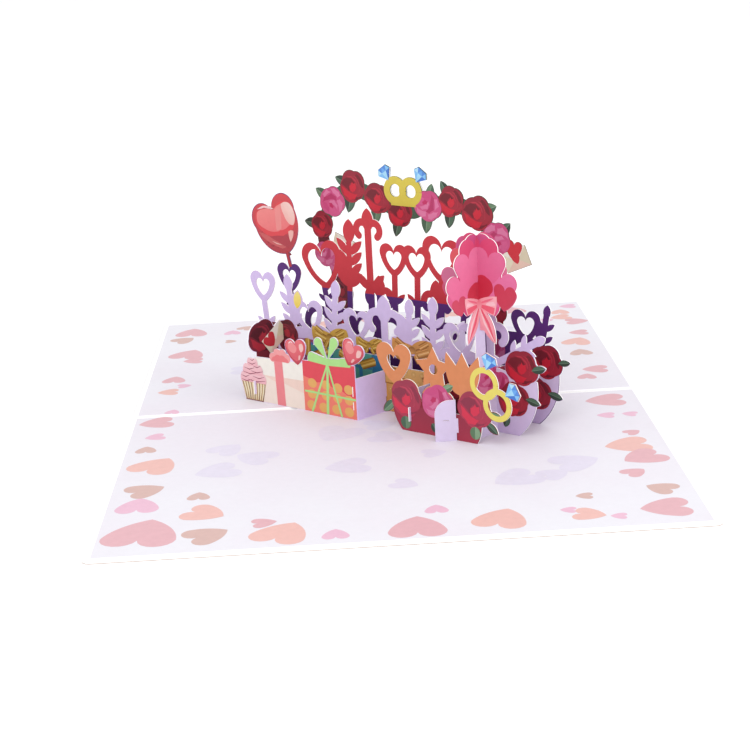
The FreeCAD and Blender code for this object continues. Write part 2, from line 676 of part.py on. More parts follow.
def arch_outline():
    middle, half, wide = arch_middle(), size("arch_span") / 2, size("arch_band")
    sill, radius, top = size("cross_height"), size("rose_radius"), size("arch_height")
    legs = [rectangle(middle - half - wide, 0, middle - half, top * 0.72),
            rectangle(middle + half, 0, middle + half + wide, top * 0.8),
            rectangle(middle - half - wide, 0, middle + half + wide, sill)]
    centres = [arch_point(share, height) for share, height, _, _ in BLOOMS]
    blooms = [rose(centre, radius * grown, turn)
              for centre, (_, _, grown, turn) in zip(centres, BLOOMS)]
    twigs = [leaf(here, there, 0.26) for here, there in zip(centres, centres[1:])]
    side_roses = [rose((middle + side * (half + wide / 2), sill + lift), radius * 0.92, 40 * side)
                  for side in (-1, 1) for lift in (6, 20, 32)]
    leaves = [leaf(centres[number], polar(centres[number], radius * reach, out))
              for number, reach, out in ((1, 1.25, 175), (2, 1.3, 150), (3, 1.25, 160), (3, 1.5, 255),
                                         (4, 1.45, 262), (5, 1.35, 255), (6, 1.5, 262), (6, 1.2, 75),
                                         (7, 1.4, 262), (7, 1.2, 120), (8, 1.3, 20), (9, 1.3, 45))]
    letters = [envelope(arch_point(-0.537, 0.717), 11, -18), envelope(arch_point(0.757, 0.745), 12, 22),
               heart(arch_point(0.74, 0.79), 7.5, -8)]
    centres, round_ring, width = arch_rings(), size("ring_radius") * 0.92, size("ring_band") * 1.45
    rings = [ring(centre, round_ring, width) for centre in centres]
    low = centres[0][1] - round_ring
    plate = rectangle(centres[0][0] - 2.4, low - 0.4, centres[1][0] + 2.4, low + width)
    stones = [gem(polar(centre, round_ring - 0.8, 90 - 38 * side), 6.4, -34 * side)
              for centre, side in zip(centres, (-1, 1))]
    whole = joined([*legs, *blooms, *twigs, *side_roses, *leaves, *letters, *rings, plate, *stones,
                    *page_tabs("arch_sheet")])
    return without(whole, [slot_below(on_rank(3, cross)) for cross in (0, 1, 3)])


# Cross sheets

def left_cross_outline():
    front, back = on_cross(0, 0), on_cross(3, 0) + 6
    second = on_cross(1, 0)
    body = rectangle(front + THICK, 0, back, size("cross_height"))
    over = size("cream_gift_height") + CLEAR
    shoulder = outline([(front + 1, 12), (second - 3, 12), (second - 1, 25), (second - 9, 27),
                        (front + 1, 25)])
    whole = joined([body, shoulder, rose((front + 4.6, over + 7), size("rose_radius") * 1.04, 30),
                    rose((second + 3.5, 22), size("rose_radius") * 0.9, 75),
                    envelope((second - 4.5, 24), 12, 35),
                    tongue(front - size("tongue_reach"), front + 4, size("tongue_lift")),
                    *page_tabs("left_cross_sheet")])
    past = rectangle(front - 12, size("tongue_lift") + size("tongue_height"), front + THICK, over)
    return without(whole, [past, *[slot_above(on_cross(rank, 0)) for rank in (1, 2, 3)]])


def inner_cross_outline():
    front, back = on_cross(1, 1) - 4, on_cross(3, 1) + 4
    whole = joined([rectangle(front, 0, back, size("cross_height")), *page_tabs("inner_cross_sheet")])
    return without(whole, [slot_above(on_cross(rank, 1)) for rank in (1, 2, 3)])


def right_cross_outline():
    front, back = on_cross(0, 3), on_cross(3, 3) + 6
    second, third = on_cross(1, 3), on_cross(2, 3)
    body = rectangle(front + THICK, 0, back, size("cross_height"))
    hood = outline([(second + 1.4, 10), (third - 1.4, 10), (third - 1.4, 36), (second + 1.4, 29)],
                   [0, 0, 0.12, 0])
    whole = joined([body, hood, tongue(front - size("tongue_reach"), front + 4, size("tongue_lift") + 1),
                    *page_tabs("right_cross_sheet")])
    hole = disc((second + 8.9, 31), 1.4)
    return without(whole, [hole, *[slot_above(on_cross(rank, 3)) for rank in (1, 2, 3)]])


def bouquet_outline(axis, front_arm, back_arm):
    """Bunch of heart shapes about a vertical axis. Arms are in shares of the bunch's height."""
    top, bunch = size("bouquet_height"), size("bouquet_bunch")
    lobes = [((0.05, -0.25), 0.58), ((0.26, -0.42), 0.56), ((0.58, -0.69), 0.52), ((0.72, -0.82), 0.35)]
    hearts = [heart((axis, top - 0.69 * bunch), 0.77 * bunch)]
    for arm in (front_arm, back_arm):
        lean = -10 if arm > 0 else 10
        hearts += [heart((axis + arm * share * bunch, top + drop * bunch), scale * bunch, lean)
                   for (share, drop), scale in lobes]
    return hearts


def ribbon(axis, tail, wide):
    """Bow under the bunch and one ribbon end. The tail's reach is in shares of the bunch's height."""
    bunch = size("bouquet_bunch")
    knot = size("bouquet_height") - 0.94 * bunch
    return [leaf((axis, knot), (axis + tail * bunch, knot - 0.54 * bunch), 0.16),
            *bow((axis, knot), wide * bunch)]


def bouquet_cross_outline():
    front, back = on_cross(0, 4) + THICK + CLEAR, on_cross(2, 4) + 7
    axis, second = on_cross(0.5, 4), on_cross(1, 4)
    low, half = size("cross_height"), size("stem_width") / 2
    stem = rectangle(axis - half, low - 3, axis + half, size("bouquet_slot_height"))
    roses = [rose((second - 4, low + 5), size("rose_radius"), 20),
             rose((second + 3, low + 3), size("rose_radius") * 0.8, 60)]
    whole = joined([rectangle(front, 0, back, low), stem, *roses, *bouquet_outline(axis, -0.58, 0.5),
                    *ribbon(axis, -0.25, 0.58), *page_tabs("bouquet_cross_sheet")])
    return without(whole, [slot_above(axis, size("bouquet_slot_height") - CLEAR / 2),
                           *[slot_above_low(on_cross(rank, 4)) for rank in (1, 2)]])


def slot_above_low(place):
    """Slot of the bouquet's cross sheet, open at the top of its low part only."""
    return rectangle(place - SLOT / 2, LAP - CLEAR / 2, place + SLOT / 2, size("cross_height") + 16)


def bouquet_fan_outline():
    axis, half, slot_top = on_rank(0.5, 4), size("stem_width") / 2, size("bouquet_slot_height")
    collar = rectangle(axis - half, slot_top - 0.75 * size("bouquet_bunch"), axis + half, slot_top)
    whole = joined([*bouquet_outline(axis, 0.63, -0.58), *ribbon(axis, 0.27, 0.65), collar])
    return without(whole, [rectangle(axis - SLOT / 2, 0, axis + SLOT / 2, slot_top + CLEAR / 2)])


# Anchor tab: a half dome that stands on the front page and hooks into the rose sheet

def anchor_place():
    """Where the anchor tab's plane meets the rose sheet: along the sheet, and along X."""
    angle = math.radians(size("lattice_angle"))
    away = value(rank_offset(0))
    place = (size("anchor_reach") + math.cos(angle) * away) / math.sin(angle)
    return place, math.sin(angle) * away + math.cos(angle) * place


def anchor_window():
    wide = THICK / math.sin(math.radians(size("lattice_angle"))) + 2 * CLEAR
    place = anchor_place()[0]
    lift = size("tongue_lift")
    return rectangle(place - wide / 2 - THICK / 2, lift - CLEAR / 2, place + wide / 2 + THICK / 2,
                     lift + size("tongue_height") + CLEAR / 2)


def anchor_foot():
    """Page tab of the anchor: left, bottom, right and top."""
    middle = anchor_place()[1] - size("anchor_width") * 0.6
    half = size("anchor_width") * 0.25
    return middle - half, -size("liner_thickness"), middle + half, 1


def anchor_outline():
    right = anchor_place()[1]
    edge = right - THICK / math.sin(math.radians(size("lattice_angle"))) - CLEAR
    left, top = right - size("anchor_width"), size("anchor_height")
    shoulder = size("anchor_width") * 0.62
    dome = outline([(left, 0), (edge, 0), (edge, top), (left + shoulder, top), (left, top - shoulder)],
                   [0, 0, 0, 0.2, 0])
    whole = joined([dome, tongue(edge - 1, right + size("tongue_reach"), size("tongue_lift")),
                    rectangle(*anchor_foot())])
    return without(whole, [rectangle(left + 3, top / 2, edge - 2.6, top / 2 + CLEAR)])


def anchor_tab():
    card = cut_card("anchor_tab", anchor_outline(), "sheet_thickness")
    card.Placement.Rotation = FreeCAD.Rotation(FreeCAD.Vector(1, 0, 0), 90)
    card.setExpression("Placement.Base.y", "-Sizes.anchor_reach")
    card.setExpression("Placement.Base.z", "Sizes.cover_thickness + Sizes.liner_thickness")
    return card


def page_slits(side):
    """Slits of the page tabs that come down on the front page, -1, or the back page, 1."""
    cuts = [slit(offset, direction, place)
            for offset, direction, places in tab_places().values() for place in places
            if page_point(offset, direction, place)[1] * side > 0]
    if side < 0:
        left, _, right, _ = anchor_foot()
        half = (THICK + CLEAR) / 2
        cuts.append(rectangle(left - CLEAR / 2, -size("anchor_reach") - half,
                              right + CLEAR / 2, -size("anchor_reach") + half))
    return cuts


pieces = [
    cover(),
    liner("front_liner", -1, page_slits(-1)),
    liner("back_liner", 1, page_slits(1)),
    gift_sheet(),
    upright("rose_sheet", rose_row(), rank_offset(0), -1),
    upright("lavender_sheet", lavender_outline(), rank_offset(1), -1),
    upright("violet_sheet", violet_outline(), rank_offset(2), -1),
    upright("arch_sheet", arch_outline(), rank_offset(3), -1),
    upright("left_cross_sheet", left_cross_outline(), cross_offset(0), 1),
    upright("inner_cross_sheet", inner_cross_outline(), cross_offset(1), 1),
    upright("right_cross_sheet", right_cross_outline(), cross_offset(3), 1),
    upright("bouquet_cross_sheet", bouquet_cross_outline(), cross_offset(4), 1),
    upright("bouquet_fan_sheet", bouquet_fan_outline(), rank_offset(0.5), -1),
    anchor_tab(),
]
doc.recompute()

for thing in doc.Objects:
    if {"Invalid", "Error"} & set(thing.State):
        raise RuntimeError(f"{thing.Name} failed: {thing.State}")
for piece in pieces:
    if piece.Shape.isNull() or not piece.Shape.isValid() or len(piece.Shape.Solids) != 1:
        raise RuntimeError(f"{piece.Label} is not one valid solid")

os.makedirs("parts", exist_ok=True)
for piece in pieces:
    piece.Shape.exportStep(f"parts/{piece.Label}.step")
    print(piece.Label, round(piece.Shape.Volume, 1))
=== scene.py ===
import math

import bpy
from mathutils import Matrix, Vector


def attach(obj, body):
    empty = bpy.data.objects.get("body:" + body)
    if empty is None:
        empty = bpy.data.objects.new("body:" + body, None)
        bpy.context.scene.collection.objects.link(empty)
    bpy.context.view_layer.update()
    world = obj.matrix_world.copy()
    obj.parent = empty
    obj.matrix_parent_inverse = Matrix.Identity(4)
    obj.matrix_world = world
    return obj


# Looks of a pop up card: printed paper sheets with white cut edges, printed pages, a pale
# floor, soft light and the camera. Lengths are in millimetres until they reach a mesh.

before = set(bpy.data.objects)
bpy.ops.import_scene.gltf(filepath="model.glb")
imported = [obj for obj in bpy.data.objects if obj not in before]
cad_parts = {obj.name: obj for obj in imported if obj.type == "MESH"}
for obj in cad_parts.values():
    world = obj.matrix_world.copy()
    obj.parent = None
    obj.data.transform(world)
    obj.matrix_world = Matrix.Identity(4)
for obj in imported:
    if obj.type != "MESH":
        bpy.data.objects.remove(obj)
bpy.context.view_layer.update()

MM = 0.001
# The lattice: its angle to the fold, the spacing of its sheets, the page under it and its card
ANGLE = math.radians(41)
RANK_PITCH = 15.5
FIRST_CROSS, CROSS_PITCH = 43.2, 25.9
PAGE_TOP = 0.8
SHEET = 0.4
# Motifs that come on several sheets: a bloom, a finger ring and the height of the lattice row
BLOOM = 7.6
RING, RING_BAND = 6.2, 2.2
ROW = 22.5
# Layers of ink over the card, and the share of light that print and plain lilac card return; the plain lilac
# card returns more as painted light, which brightens the gift's side panel and the cross sheets
INK_STEP = 0.008
SURFACE = 0.01
TONE, PAINTED_LIGHT_TONE = 0.8, 0.95

# Colours as red, green and blue in two hexadecimal digits each
WHITE = "FFFFFF"
LAVENDER = "D6C1EC"
# Lavender of the cross sheets, lighter than the lavender card: painted light
PAINTED_LIGHT_LAVENDER = "E4D4F4"
PALE_LAVENDER = "E2D4F2"
PURPLE = "5B2A7A"
RUBY = "CC3540"
ORANGE = "DD8C5C"
GOLD = "DDCB50"
PALE_GOLD = "ECDD6C"
# Roses from their darkest petal to their brightest
RED_ROSE = ("781A2A", "962438", "B0293C", "BE3446", "D2243A")
ROW_ROSE = ("903048", "A0364E", "B83852", "C4445C", "DA3450")
PINK_ROSE = ("BE3A6C", "D04E84", "DA6092", "E27EA8", "C83266")
# The red rose darkened all over: painted shade for roses that stand in shadow
SHADED_ROSE = ("551622", "6B1C2A", "832637", "962C3C", "AE2A3A")
GREENS = ("4C6B54", "6C8C6C")
DARK_GREENS = ("384A3E", "52705A")
PALE_GREENS = ("60805F", "86A683")


def linear(code):
    """Linear colour of a written one."""
    channels = [int(code[k:k + 2], 16) / 255 for k in (0, 2, 4)]
    return [c / 12.92 if c <= 0.04045 else ((c + 0.055) / 1.055) ** 2.4 for c in channels] + [1.0]


def blended(first, second, share):
    parts = [(int(first[k:k + 2], 16), int(second[k:k + 2], 16)) for k in (0, 2, 4)]
    return "".join(f"{round(a + (b - a) * share):02X}" for a, b in parts)


# Where the sheets stand, as the solids have it

def rank_offset(rank):
    return (rank - 1.5) * RANK_PITCH


def cross_offset(cross):
    return FIRST_CROSS - cross * CROSS_PITCH


def on_rank(rank, cross):
    return (math.cos(2 * ANGLE) * rank_offset(rank) - cross_offset(cross)) / math.sin(2 * ANGLE)


def on_cross(rank, cross):
    return (rank_offset(rank) - cross_offset(cross) * math.cos(2 * ANGLE)) / math.sin(2 * ANGLE)


# Outlines

def polar(centre, radius, angle):
    turn = math.radians(angle)
    return centre[0] + radius * math.cos(turn), centre[1] + radius * math.sin(turn)


def placed(points, centre, scale, lean=0):
    cos, sin = math.cos(math.radians(lean)) * scale, math.sin(math.radians(lean)) * scale
    return [(centre[0] + x * cos - y * sin, centre[1] + x * sin + y * cos) for x, y in points]


def arc(start, end, bulge, steps):
    """Points of an arc that swells to the right of its run by bulge times its length."""
    run = (end[0] - start[0], end[1] - start[1])
    length = math.hypot(*run)
    if not bulge or not length:
        return [start]
    half = 2 * math.atan(2 * bulge)
    radius = length / 2 / math.sin(half)
    ahead = (run[0] / length, run[1] / length)
    out = (ahead[1], -ahead[0])
    middle = ((start[0] + end[0]) / 2, (start[1] + end[1]) / 2)
    back = bulge * length - radius
    centre = (middle[0] + out[0] * back, middle[1] + out[1] * back)
    points = []
    for k in range(steps):
        turn = -half + 2 * half * k / steps
        across, along = radius * math.cos(turn), radius * math.sin(turn)
        points.append((centre[0] + out[0] * across + ahead[0] * along,
                       centre[1] + out[1] * across + ahead[1] * along))
    return points


def outline(points, bulges=0, steps=7):
    if not isinstance(bulges, (list, tuple)):
        bulges = [bulges] * len(points)
    shape = []
    for start, end, bulge in zip(points, points[1:] + points[:1], bulges):
        shape += arc(start, end, bulge, steps)
    return shape


def oval(centre, wide, high, steps=20):
    turns = [2 * math.pi * k / steps for k in range(steps)]
    return [(centre[0] + wide * math.cos(turn), centre[1] + high * math.sin(turn)) for turn in turns]


def rectangle(left, bottom, right, top):
    return [(left, bottom), (right, bottom), (right, top), (left, top)]


def strip(points, width):
    """Four-sided pieces of a stroke along points, with widths that may change along it."""
    widths = width if isinstance(width, (list, tuple)) else [width] * len(points)
    sides = []
    for k, here in enumerate(points):
        before, after = points[max(k - 1, 0)], points[min(k + 1, len(points) - 1)]
        run = (after[0] - before[0], after[1] - before[1])
        length = math.hypot(*run) or 1
        across = (-run[1] / length * widths[k] / 2, run[0] / length * widths[k] / 2)
        sides.append(((here[0] - across[0], here[1] - across[1]),
                      (here[0] + across[0], here[1] + across[1])))
    return [[a[0], b[0], b[1], a[1]] for a, b in zip(sides, sides[1:])]


def bend(centre, radius, start, sweep, steps=12):
    return [polar(centre, radius, start + sweep * k / steps) for k in range(steps + 1)]


HEART = [(0, -0.52), (0.5, 0.12), (0, 0.26), (-0.5, 0.12)]


def heart(centre, scale, lean=0, side=0.1):
    return outline(placed(HEART, centre, scale, lean), [side, 0.56, 0.56, side], 9)


def leaf_shape(base, tip, fullness=0.24):
    return outline([base, tip], fullness, 8)


# Ink: flat shapes in thin layers on both faces of a sheet

class Print:
    def __init__(self, node, origin, along, up, thick, both=True):
        self.node = node
        self.origin, self.along, self.up = Vector(origin), Vector(along), Vector(up)
        self.out = self.along.cross(self.up)
        self.thick, self.both = thick, both
        self.shapes = []

    def layer_over(self, box):
        """Number of the layer that lies over all that a box meets."""
        layer = 0
        for _, _, other, below in self.shapes:
            if box[0] < other[2] and other[0] < box[2] and box[1] < other[3] and other[1] < box[3]:
                layer = max(layer, below + 1)
        return layer

    def lay(self, colour, *shapes, to=None, across=(0, 1)):
        """Lays shapes in one layer. With to, the colour turns to that along across."""
        points = [p for shape in shapes for p in shape]
        xs, ys = [p[0] for p in points], [p[1] for p in points]
        box = (min(xs), min(ys), max(xs), max(ys))
        layer = self.layer_over(box)
        first, last = linear(colour), linear(to or colour)
        reach = [p[0] * across[0] + p[1] * across[1] for p in points]
        low, high = min(reach), max(reach)
        for shape in shapes:
            colours = []
            for x, y in shape:
                share = (x * across[0] + y * across[1] - low) / ((high - low) or 1)
                colours.append([a + (b - a) * share for a, b in zip(first, last)])
            self.shapes.append((shape, colours, box, layer))

    def place(self, x, y, layer, side):
        lift = (self.thick / 2 + SURFACE + INK_STEP * layer) * side
        return (self.origin + self.along * x + self.up * y + self.out * lift) * MM

    def build(self, name, look):
        verts, faces, colours = [], [], []
        for side in ((1, -1) if self.both else (1,)):
            for shape, tones, _, layer in self.shapes:
                first = len(verts)
                verts += [self.place(x, y, layer, side) for x, y in shape]
                ring = list(range(first, first + len(shape)))
                faces.append(ring if side > 0 else ring[::-1])
                colours += tones if side > 0 else tones[::-1]
        mesh = bpy.data.meshes.new(name)
        mesh.from_pydata(verts, [], faces)
        inks = mesh.color_attributes.new("ink", "FLOAT_COLOR", "CORNER")
        for corner, colour in zip(inks.data, colours):
            corner.color = colour
        mesh.materials.append(look)
        mesh.update()
        piece = bpy.data.objects.new(name, mesh)
        bpy.context.scene.collection.objects.link(piece)
        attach(piece, "root")


def rank_print(node, rank):
    away = rank_offset(rank)
    return Print(node, (math.sin(ANGLE) * away, math.cos(ANGLE) * away, PAGE_TOP),
                 (math.cos(ANGLE), -math.sin(ANGLE), 0), (0, 0, 1), SHEET)


def cross_print(node, cross):
    away = cross_offset(cross)
    return Print(node, (-math.sin(ANGLE) * away, math.cos(ANGLE) * away, PAGE_TOP),
                 (math.cos(ANGLE), math.sin(ANGLE), 0), (0, 0, 1), SHEET)


# Printed motifs

# Petals of a bloom of radius 1: which tone, the corners, and how far the sides swell
RED_PETALS = [
    (0, [(0.3, 0.58), (0.5, 0.36), (0.6, 0.04), (0.78, -0.14), (0.8, 0.1), (0.66, 0.42),
         (0.42, 0.68)], 0.08),
    (0, [(0.1, -0.6), (0.45, -0.6), (0.74, -0.4), (0.56, -0.64), (0.24, -0.8), (0.0, -0.82)], 0.08),
    (3, [(0.02, 0.66), (0.36, 0.52), (0.53, 0.16), (0.5, -0.3), (0.2, -0.54), (0.46, -0.3),
         (0.49, 0.14), (0.32, 0.47)], 0.02),
    (3, [(-0.36, 0.56), (0.0, 0.5), (0.28, 0.26), (0.34, 0.0), (0.38, 0.02), (0.33, 0.3),
         (0.04, 0.56)], 0.04),
    (0, [(-0.82, 0.18), (-0.6, 0.42), (-0.34, 0.52), (0.0, 0.46), (0.24, 0.18), (0.14, 0.06),
         (-0.1, 0.2), (-0.24, 0.0), (-0.2, -0.24), (-0.03, -0.36), (-0.3, -0.22), (-0.56, 0.0)], 0.04),
    (4, [(-0.82, 0.08), (-0.56, -0.08), (-0.3, -0.28), (0.0, -0.42), (0.32, -0.46), (0.1, -0.74),
         (-0.3, -0.78), (-0.68, -0.46)], 0.06),
    (4, [(-0.24, 0.0), (-0.08, 0.1), (0.02, 0.28), (0.1, 0.14), (0.26, 0.2), (0.3, -0.1),
         (0.16, -0.27), (-0.03, -0.36), (-0.2, -0.22)], 0.05),
]
PINK_PETALS = [
    (3, [(-0.8, -0.1), (-0.5, -0.28), (-0.08, -0.32), (-0.14, -0.62), (-0.46, -0.7), (-0.76, -0.42)], 0.08),
    (3, [(0.0, -0.5), (0.4, -0.34), (0.74, -0.3), (0.6, -0.6), (0.24, -0.8), (0.0, -0.76)], 0.08),
    (3, [(0.46, 0.42), (0.7, 0.42), (0.82, 0.0), (0.5, -0.26)], 0.08),
    (1, [(-0.5, 0.6), (0.0, 0.8), (0.4, 0.7), (0.12, 0.42), (-0.24, 0.38)], 0.06),
    (2, [(-0.8, 0.26), (-0.56, 0.58), (-0.2, 0.4), (-0.4, 0.06), (-0.7, 0.0)], 0.06),
    (0, [(0.3, 0.68), (0.5, 0.42), (0.44, -0.22), (0.1, -0.44), (-0.16, -0.34), (0.1, -0.12),
         (0.22, 0.26)], 0.05),
    (3, [(-0.58, -0.08), (-0.24, 0.0), (0.08, 0.26), (0.12, 0.08), (0.0, -0.2), (-0.4, -0.26)], 0.06),
    (4, [(-0.38, 0.2), (-0.16, 0.34), (0.06, 0.24), (-0.06, 0.06), (-0.3, 0.04)], 0.1),
]


def rose(ink, centre, radius, turn=0, tones=RED_ROSE, spin=0):
    """Bloom: its five-petalled outline, then flat petals one over another."""
    reach = [0.86, 0.8, 0.9, 0.82, 0.87]
    corners = [polar(centre, radius * share * 0.975, turn + 72 * k) for k, share in enumerate(reach)]
    ink.lay(tones[2], outline(corners, [0.26, 0.2, 0.25, 0.22, 0.28]), to=tones[1])
    for tone, points, swell in PINK_PETALS if tones is PINK_ROSE else RED_PETALS:
        ink.lay(tones[tone], outline(placed(points, centre, radius * 0.97, spin), swell, 5))


def leaf(ink, base, tip, fullness=0.24, tones=GREENS):
    ink.lay(tones[0], leaf_shape(base, tip, fullness))
    ink.lay(tones[1], outline([base, tip], [0, fullness * 0.86], 8))
    length = math.dist(base, tip)
    ink.lay(blended(tones[1], WHITE, 0.2), *strip([base, tip], length * 0.03))


def gem(ink, tip, scale, lean):
    """Cut stone seen from the side, standing on its point."""
    stone = [(0, 0), (0.56, 0.62), (0.34, 0.95), (-0.34, 0.95), (-0.56, 0.62)]
    ink.lay("5C92E2", placed(stone, tip, scale * 0.97, lean))
    facets = [("86C4F8", [(0, 0), (-0.2, 0.62), (-0.56, 0.62)]),
              ("A9DFFC", [(0, 0), (0.2, 0.62), (-0.2, 0.62)]),
              ("4A7ED6", [(0, 0), (0.56, 0.62), (0.2, 0.62)]),
              ("B6E6FE", [(-0.56, 0.62), (-0.2, 0.62), (-0.34, 0.95)]),
              ("6FAEF2", [(-0.2, 0.62), (0.2, 0.62), (0, 0.95)]),
              ("8CCBFA", [(0.2, 0.62), (0.56, 0.62), (0.34, 0.95)])]
    for colour, points in facets:
        ink.lay(colour, placed(points, tip, scale * 0.95, lean))


def finger_ring(ink, centre, radius, width, colour=GOLD):
    ink.lay(colour, *strip(bend(centre, radius - width / 2, 0, 360, 32), width * 0.96))


def envelope(ink, centre, scale, lean, tones=("EFE8CC", "F3D3C0", "E3DABC"), seal=((0, 0), 0.3)):
    """Envelope with its flaps and a heart. The seal is the heart's place and its size."""
    flaps = [(tones[0], [(-0.49, -0.32), (0.49, -0.32), (0.49, 0.32), (-0.49, 0.32)]),
             (tones[1], [(-0.49, -0.32), (0.49, -0.32), (0, 0.06)]),
             (tones[2], [(0.49, -0.32), (0.49, 0.32), (0.04, 0.0)]),
             (blended(tones[0], WHITE, 0.5), [(-0.49, 0.32), (0, -0.08), (0.49, 0.32)])]
    for tone, points in flaps:
        ink.lay(tone, placed(points, centre, scale, lean))
    ink.lay("D83844", heart(placed([seal[0]], centre, scale, lean)[0], scale * seal[1], lean))


GOLD_RIBBON = ("8C6226", "B58732", "DAAE4E", "F2D480")
COPPER_RIBBON = ("94602E", "BA7E3E", "DC9E5A", "F2C688")


def barrel(ink, start, end, wide, tones):
    """Turn of a ribbon seen from the side: lengthwise bands of light and shade."""
    length = math.dist(start, end)
    lean = math.degrees(math.atan2(end[1] - start[1], end[0] - start[0]))
    middle = ((start[0] + end[0]) / 2, (start[1] + end[1]) / 2)
    shade = (0, 1, 2, 3, 2, 1, 2, 1, 0)
    step = wide / len(shade)
    for k, tone in enumerate(shade):
        low = -wide / 2 + step * k
        slack = length * 0.5 - abs(low + step / 2) * 0.3
        band = [(-slack, low), (slack, low), (slack, low + step), (-slack, low + step)]
        ink.lay(tones[tone], placed(band, middle, 1, lean))


def curled_bow(ink, knot, scale, tones):
    """Gold bow: two looped ends, and turns of ribbon over them."""
    for side in (1, -1):
        loop = [(0, -0.06), (0.42 * side, -0.22), (0.5 * side, 0.22), (0, 0.1)]
        swell = [0, 0.2, 0.14, 0] if side > 0 else [0, 0.14, 0.2, 0]
        ink.lay(tones[1], outline(placed(loop[::side], knot, scale * 0.97), swell), to=tones[2])
    for x, y, reach, wide, lean in ((-0.26, -0.02, 0.34, 0.2, 160), (0.26, -0.02, 0.34, 0.2, 20),
                                    (-0.3, 0.13, 0.26, 0.12, 150), (0.3, 0.13, 0.26, 0.12, 30),
                                    (-0.1, -0.16, 0.2, 0.12, 60), (0.12, -0.17, 0.2, 0.12, 120)):
        centre = placed([(x, y)], knot, scale)[0]
        half = reach * scale / 2
        barrel(ink, polar(centre, half, lean + 180), polar(centre, half, lean), wide * scale, tones)
    ink.lay(tones[2], oval(knot, scale * 0.09, scale * 0.08), to=tones[0])


def shiny_heart(ink, centre, scale, lean):
    """Small foil balloon in the shape of a heart."""
    def at(*points):
        return placed(points, centre, scale, lean)

    ink.lay("C04452", heart(centre, scale * 0.97, lean), to="DD5560")
    ink.lay("E87078", heart(at((-0.02, 0.05))[0], scale * 0.82, lean), to="DC5C68", across=(0, -1))
    ink.lay("EF9092", outline(at((-0.36, 0.12), (-0.1, -0.06), (0.06, 0.12), (-0.08, 0.3),
                                 (-0.28, 0.34)), 0.14))
    ink.lay("F3C4BE", outline(at((0.24, -0.02), (0.38, 0.08), (0.36, 0.3), (0.2, 0.26)), 0.12))
    ink.lay("F0B8B4", outline(at((0.08, -0.32), (0.14, -0.3), (0.2, -0.14), (0.12, -0.14)), 0.08))
    ink.lay("F6D6D6", outline(at((-0.34, 0.3), (-0.2, 0.36), (-0.08, 0.32), (-0.2, 0.4)), 0.06))


# Gift sheet

RED_GIFT, CREAM_GIFT = 26.6, 25.4
BOW_GREEN = "B0E38C"


def gift_print():
    ink = rank_print("gift_sheet", 0)
    fold = on_rank(0, 2)
    red_left = fold - RED_GIFT
    cream_left = red_left - CREAM_GIFT
    cream_gift(ink, cream_left)
    red_gift(ink, red_left)
    green_bow(ink, ((red_left + fold) / 2 - 0.3, 21.9))
    # White slits where the side panel's tabs come through
    for low, high in ((9.2, 13.2), (3.9, 7.0)):
        ink.lay(WHITE, rectangle(fold - 1.75, low, fold - 1.35, high))
    shiny_heart(ink, (red_left - 2.9, 23.4), 10.6, 6)
    shiny_heart(ink, (fold - 1, 26.3), 10.6, -24)
    cupcake(ink, cream_left - 1.4)
    ink.build("gift_sheet_print", INK)


def cream_gift(ink, left):
    """Cream box with a slanting pink band, a coral ribbon and a pink bow."""
    front = [("F7F2E9", [(0.1, 0.1), (25.4, 0.1), (25.4, 19.2), (0.1, 18.4)]),
             ("F7E6DA", [(0.1, 0.1), (25.4, 0.1), (25.4, 7), (15, 9.6), (9.8, 9.8), (3, 11.6), (0.1, 11.8)]),
             ("F5D8CB", [(4, 11.5), (9.8, 9.7), (15, 9.5), (25.4, 6.9), (25.4, 12), (15, 11.8), (9.8, 11.5)]),
             ("F0888E", [(11, 0.1), (15.4, 0.1), (14.8, 18.8), (10.4, 18.6)])]
    for colour, points in front:
        ink.lay(colour, placed(points, (left, 0), 1))
    middle = left + CREAM_GIFT / 2 + 0.9
    ink.lay("F4A2A2", rectangle(middle - 4.6, 18.2, middle + 4.8, 20.6))
    for x, y, radius in ((-3.6, 19.5, 1.85), (3.8, 19.9, 1.85), (-1.2, 21.3, 1.95), (1.6, 21.4, 1.95)):
        ink.lay("F4A2A2", oval((middle + x, y), radius, radius))
    fold = placed([(-4.4, 18.1), (4.6, 18.2), (3, 20.0), (0.2, 20.6), (-2.6, 20.0)], (middle, 0), 1)
    ink.lay("EE7C80", outline(fold, [0, 0.2, 0.2, 0.2, 0.2]))


def red_gift(ink, left):
    """Coral box with gold dots under a red lid with a scalloped edge, tied in green."""
    ink.lay("F27F6C", rectangle(left, 0.1, left + RED_GIFT - 0.1, 20.4))
    lid = [(0, 14.2), (3, 13.6), (7, 12.4), (11, 12.9), (15.5, 11.2), (19, 11), (22, 9.4), (25.2, 8.6),
           (26.5, 8.8), (26.5, 21.5), (0, 20.4)]
    ink.lay("E44A57", placed(lid, (left, 0), 1))
    dots = [(4.6, 11.8), (11.6, 11.9), (17.6, 11.6), (23, 11.6), (4.2, 7.4), (11.4, 7.6), (17.2, 7.4),
            (23, 7.4), (3.6, 2.8), (9.8, 2.6), (16.4, 2.8), (22.8, 2.7)]
    for x, y in dots:
        ink.lay("E8AE64", oval((left + x, y), 2.25, 1.9))
    top = (left + RED_GIFT / 2 - 0.3, 20.6)
    for foot, width in ((3.8, 0.95), (11.8, 1.35), (19, 0.95)):
        ink.lay(BOW_GREEN, *strip([top, (left + foot, 0.2)], [width * 0.8, width]))
    ink.lay(BOW_GREEN, *strip([(left + 0.6, 8.2), (left + RED_GIFT - 0.2, 8.0)], 0.8))


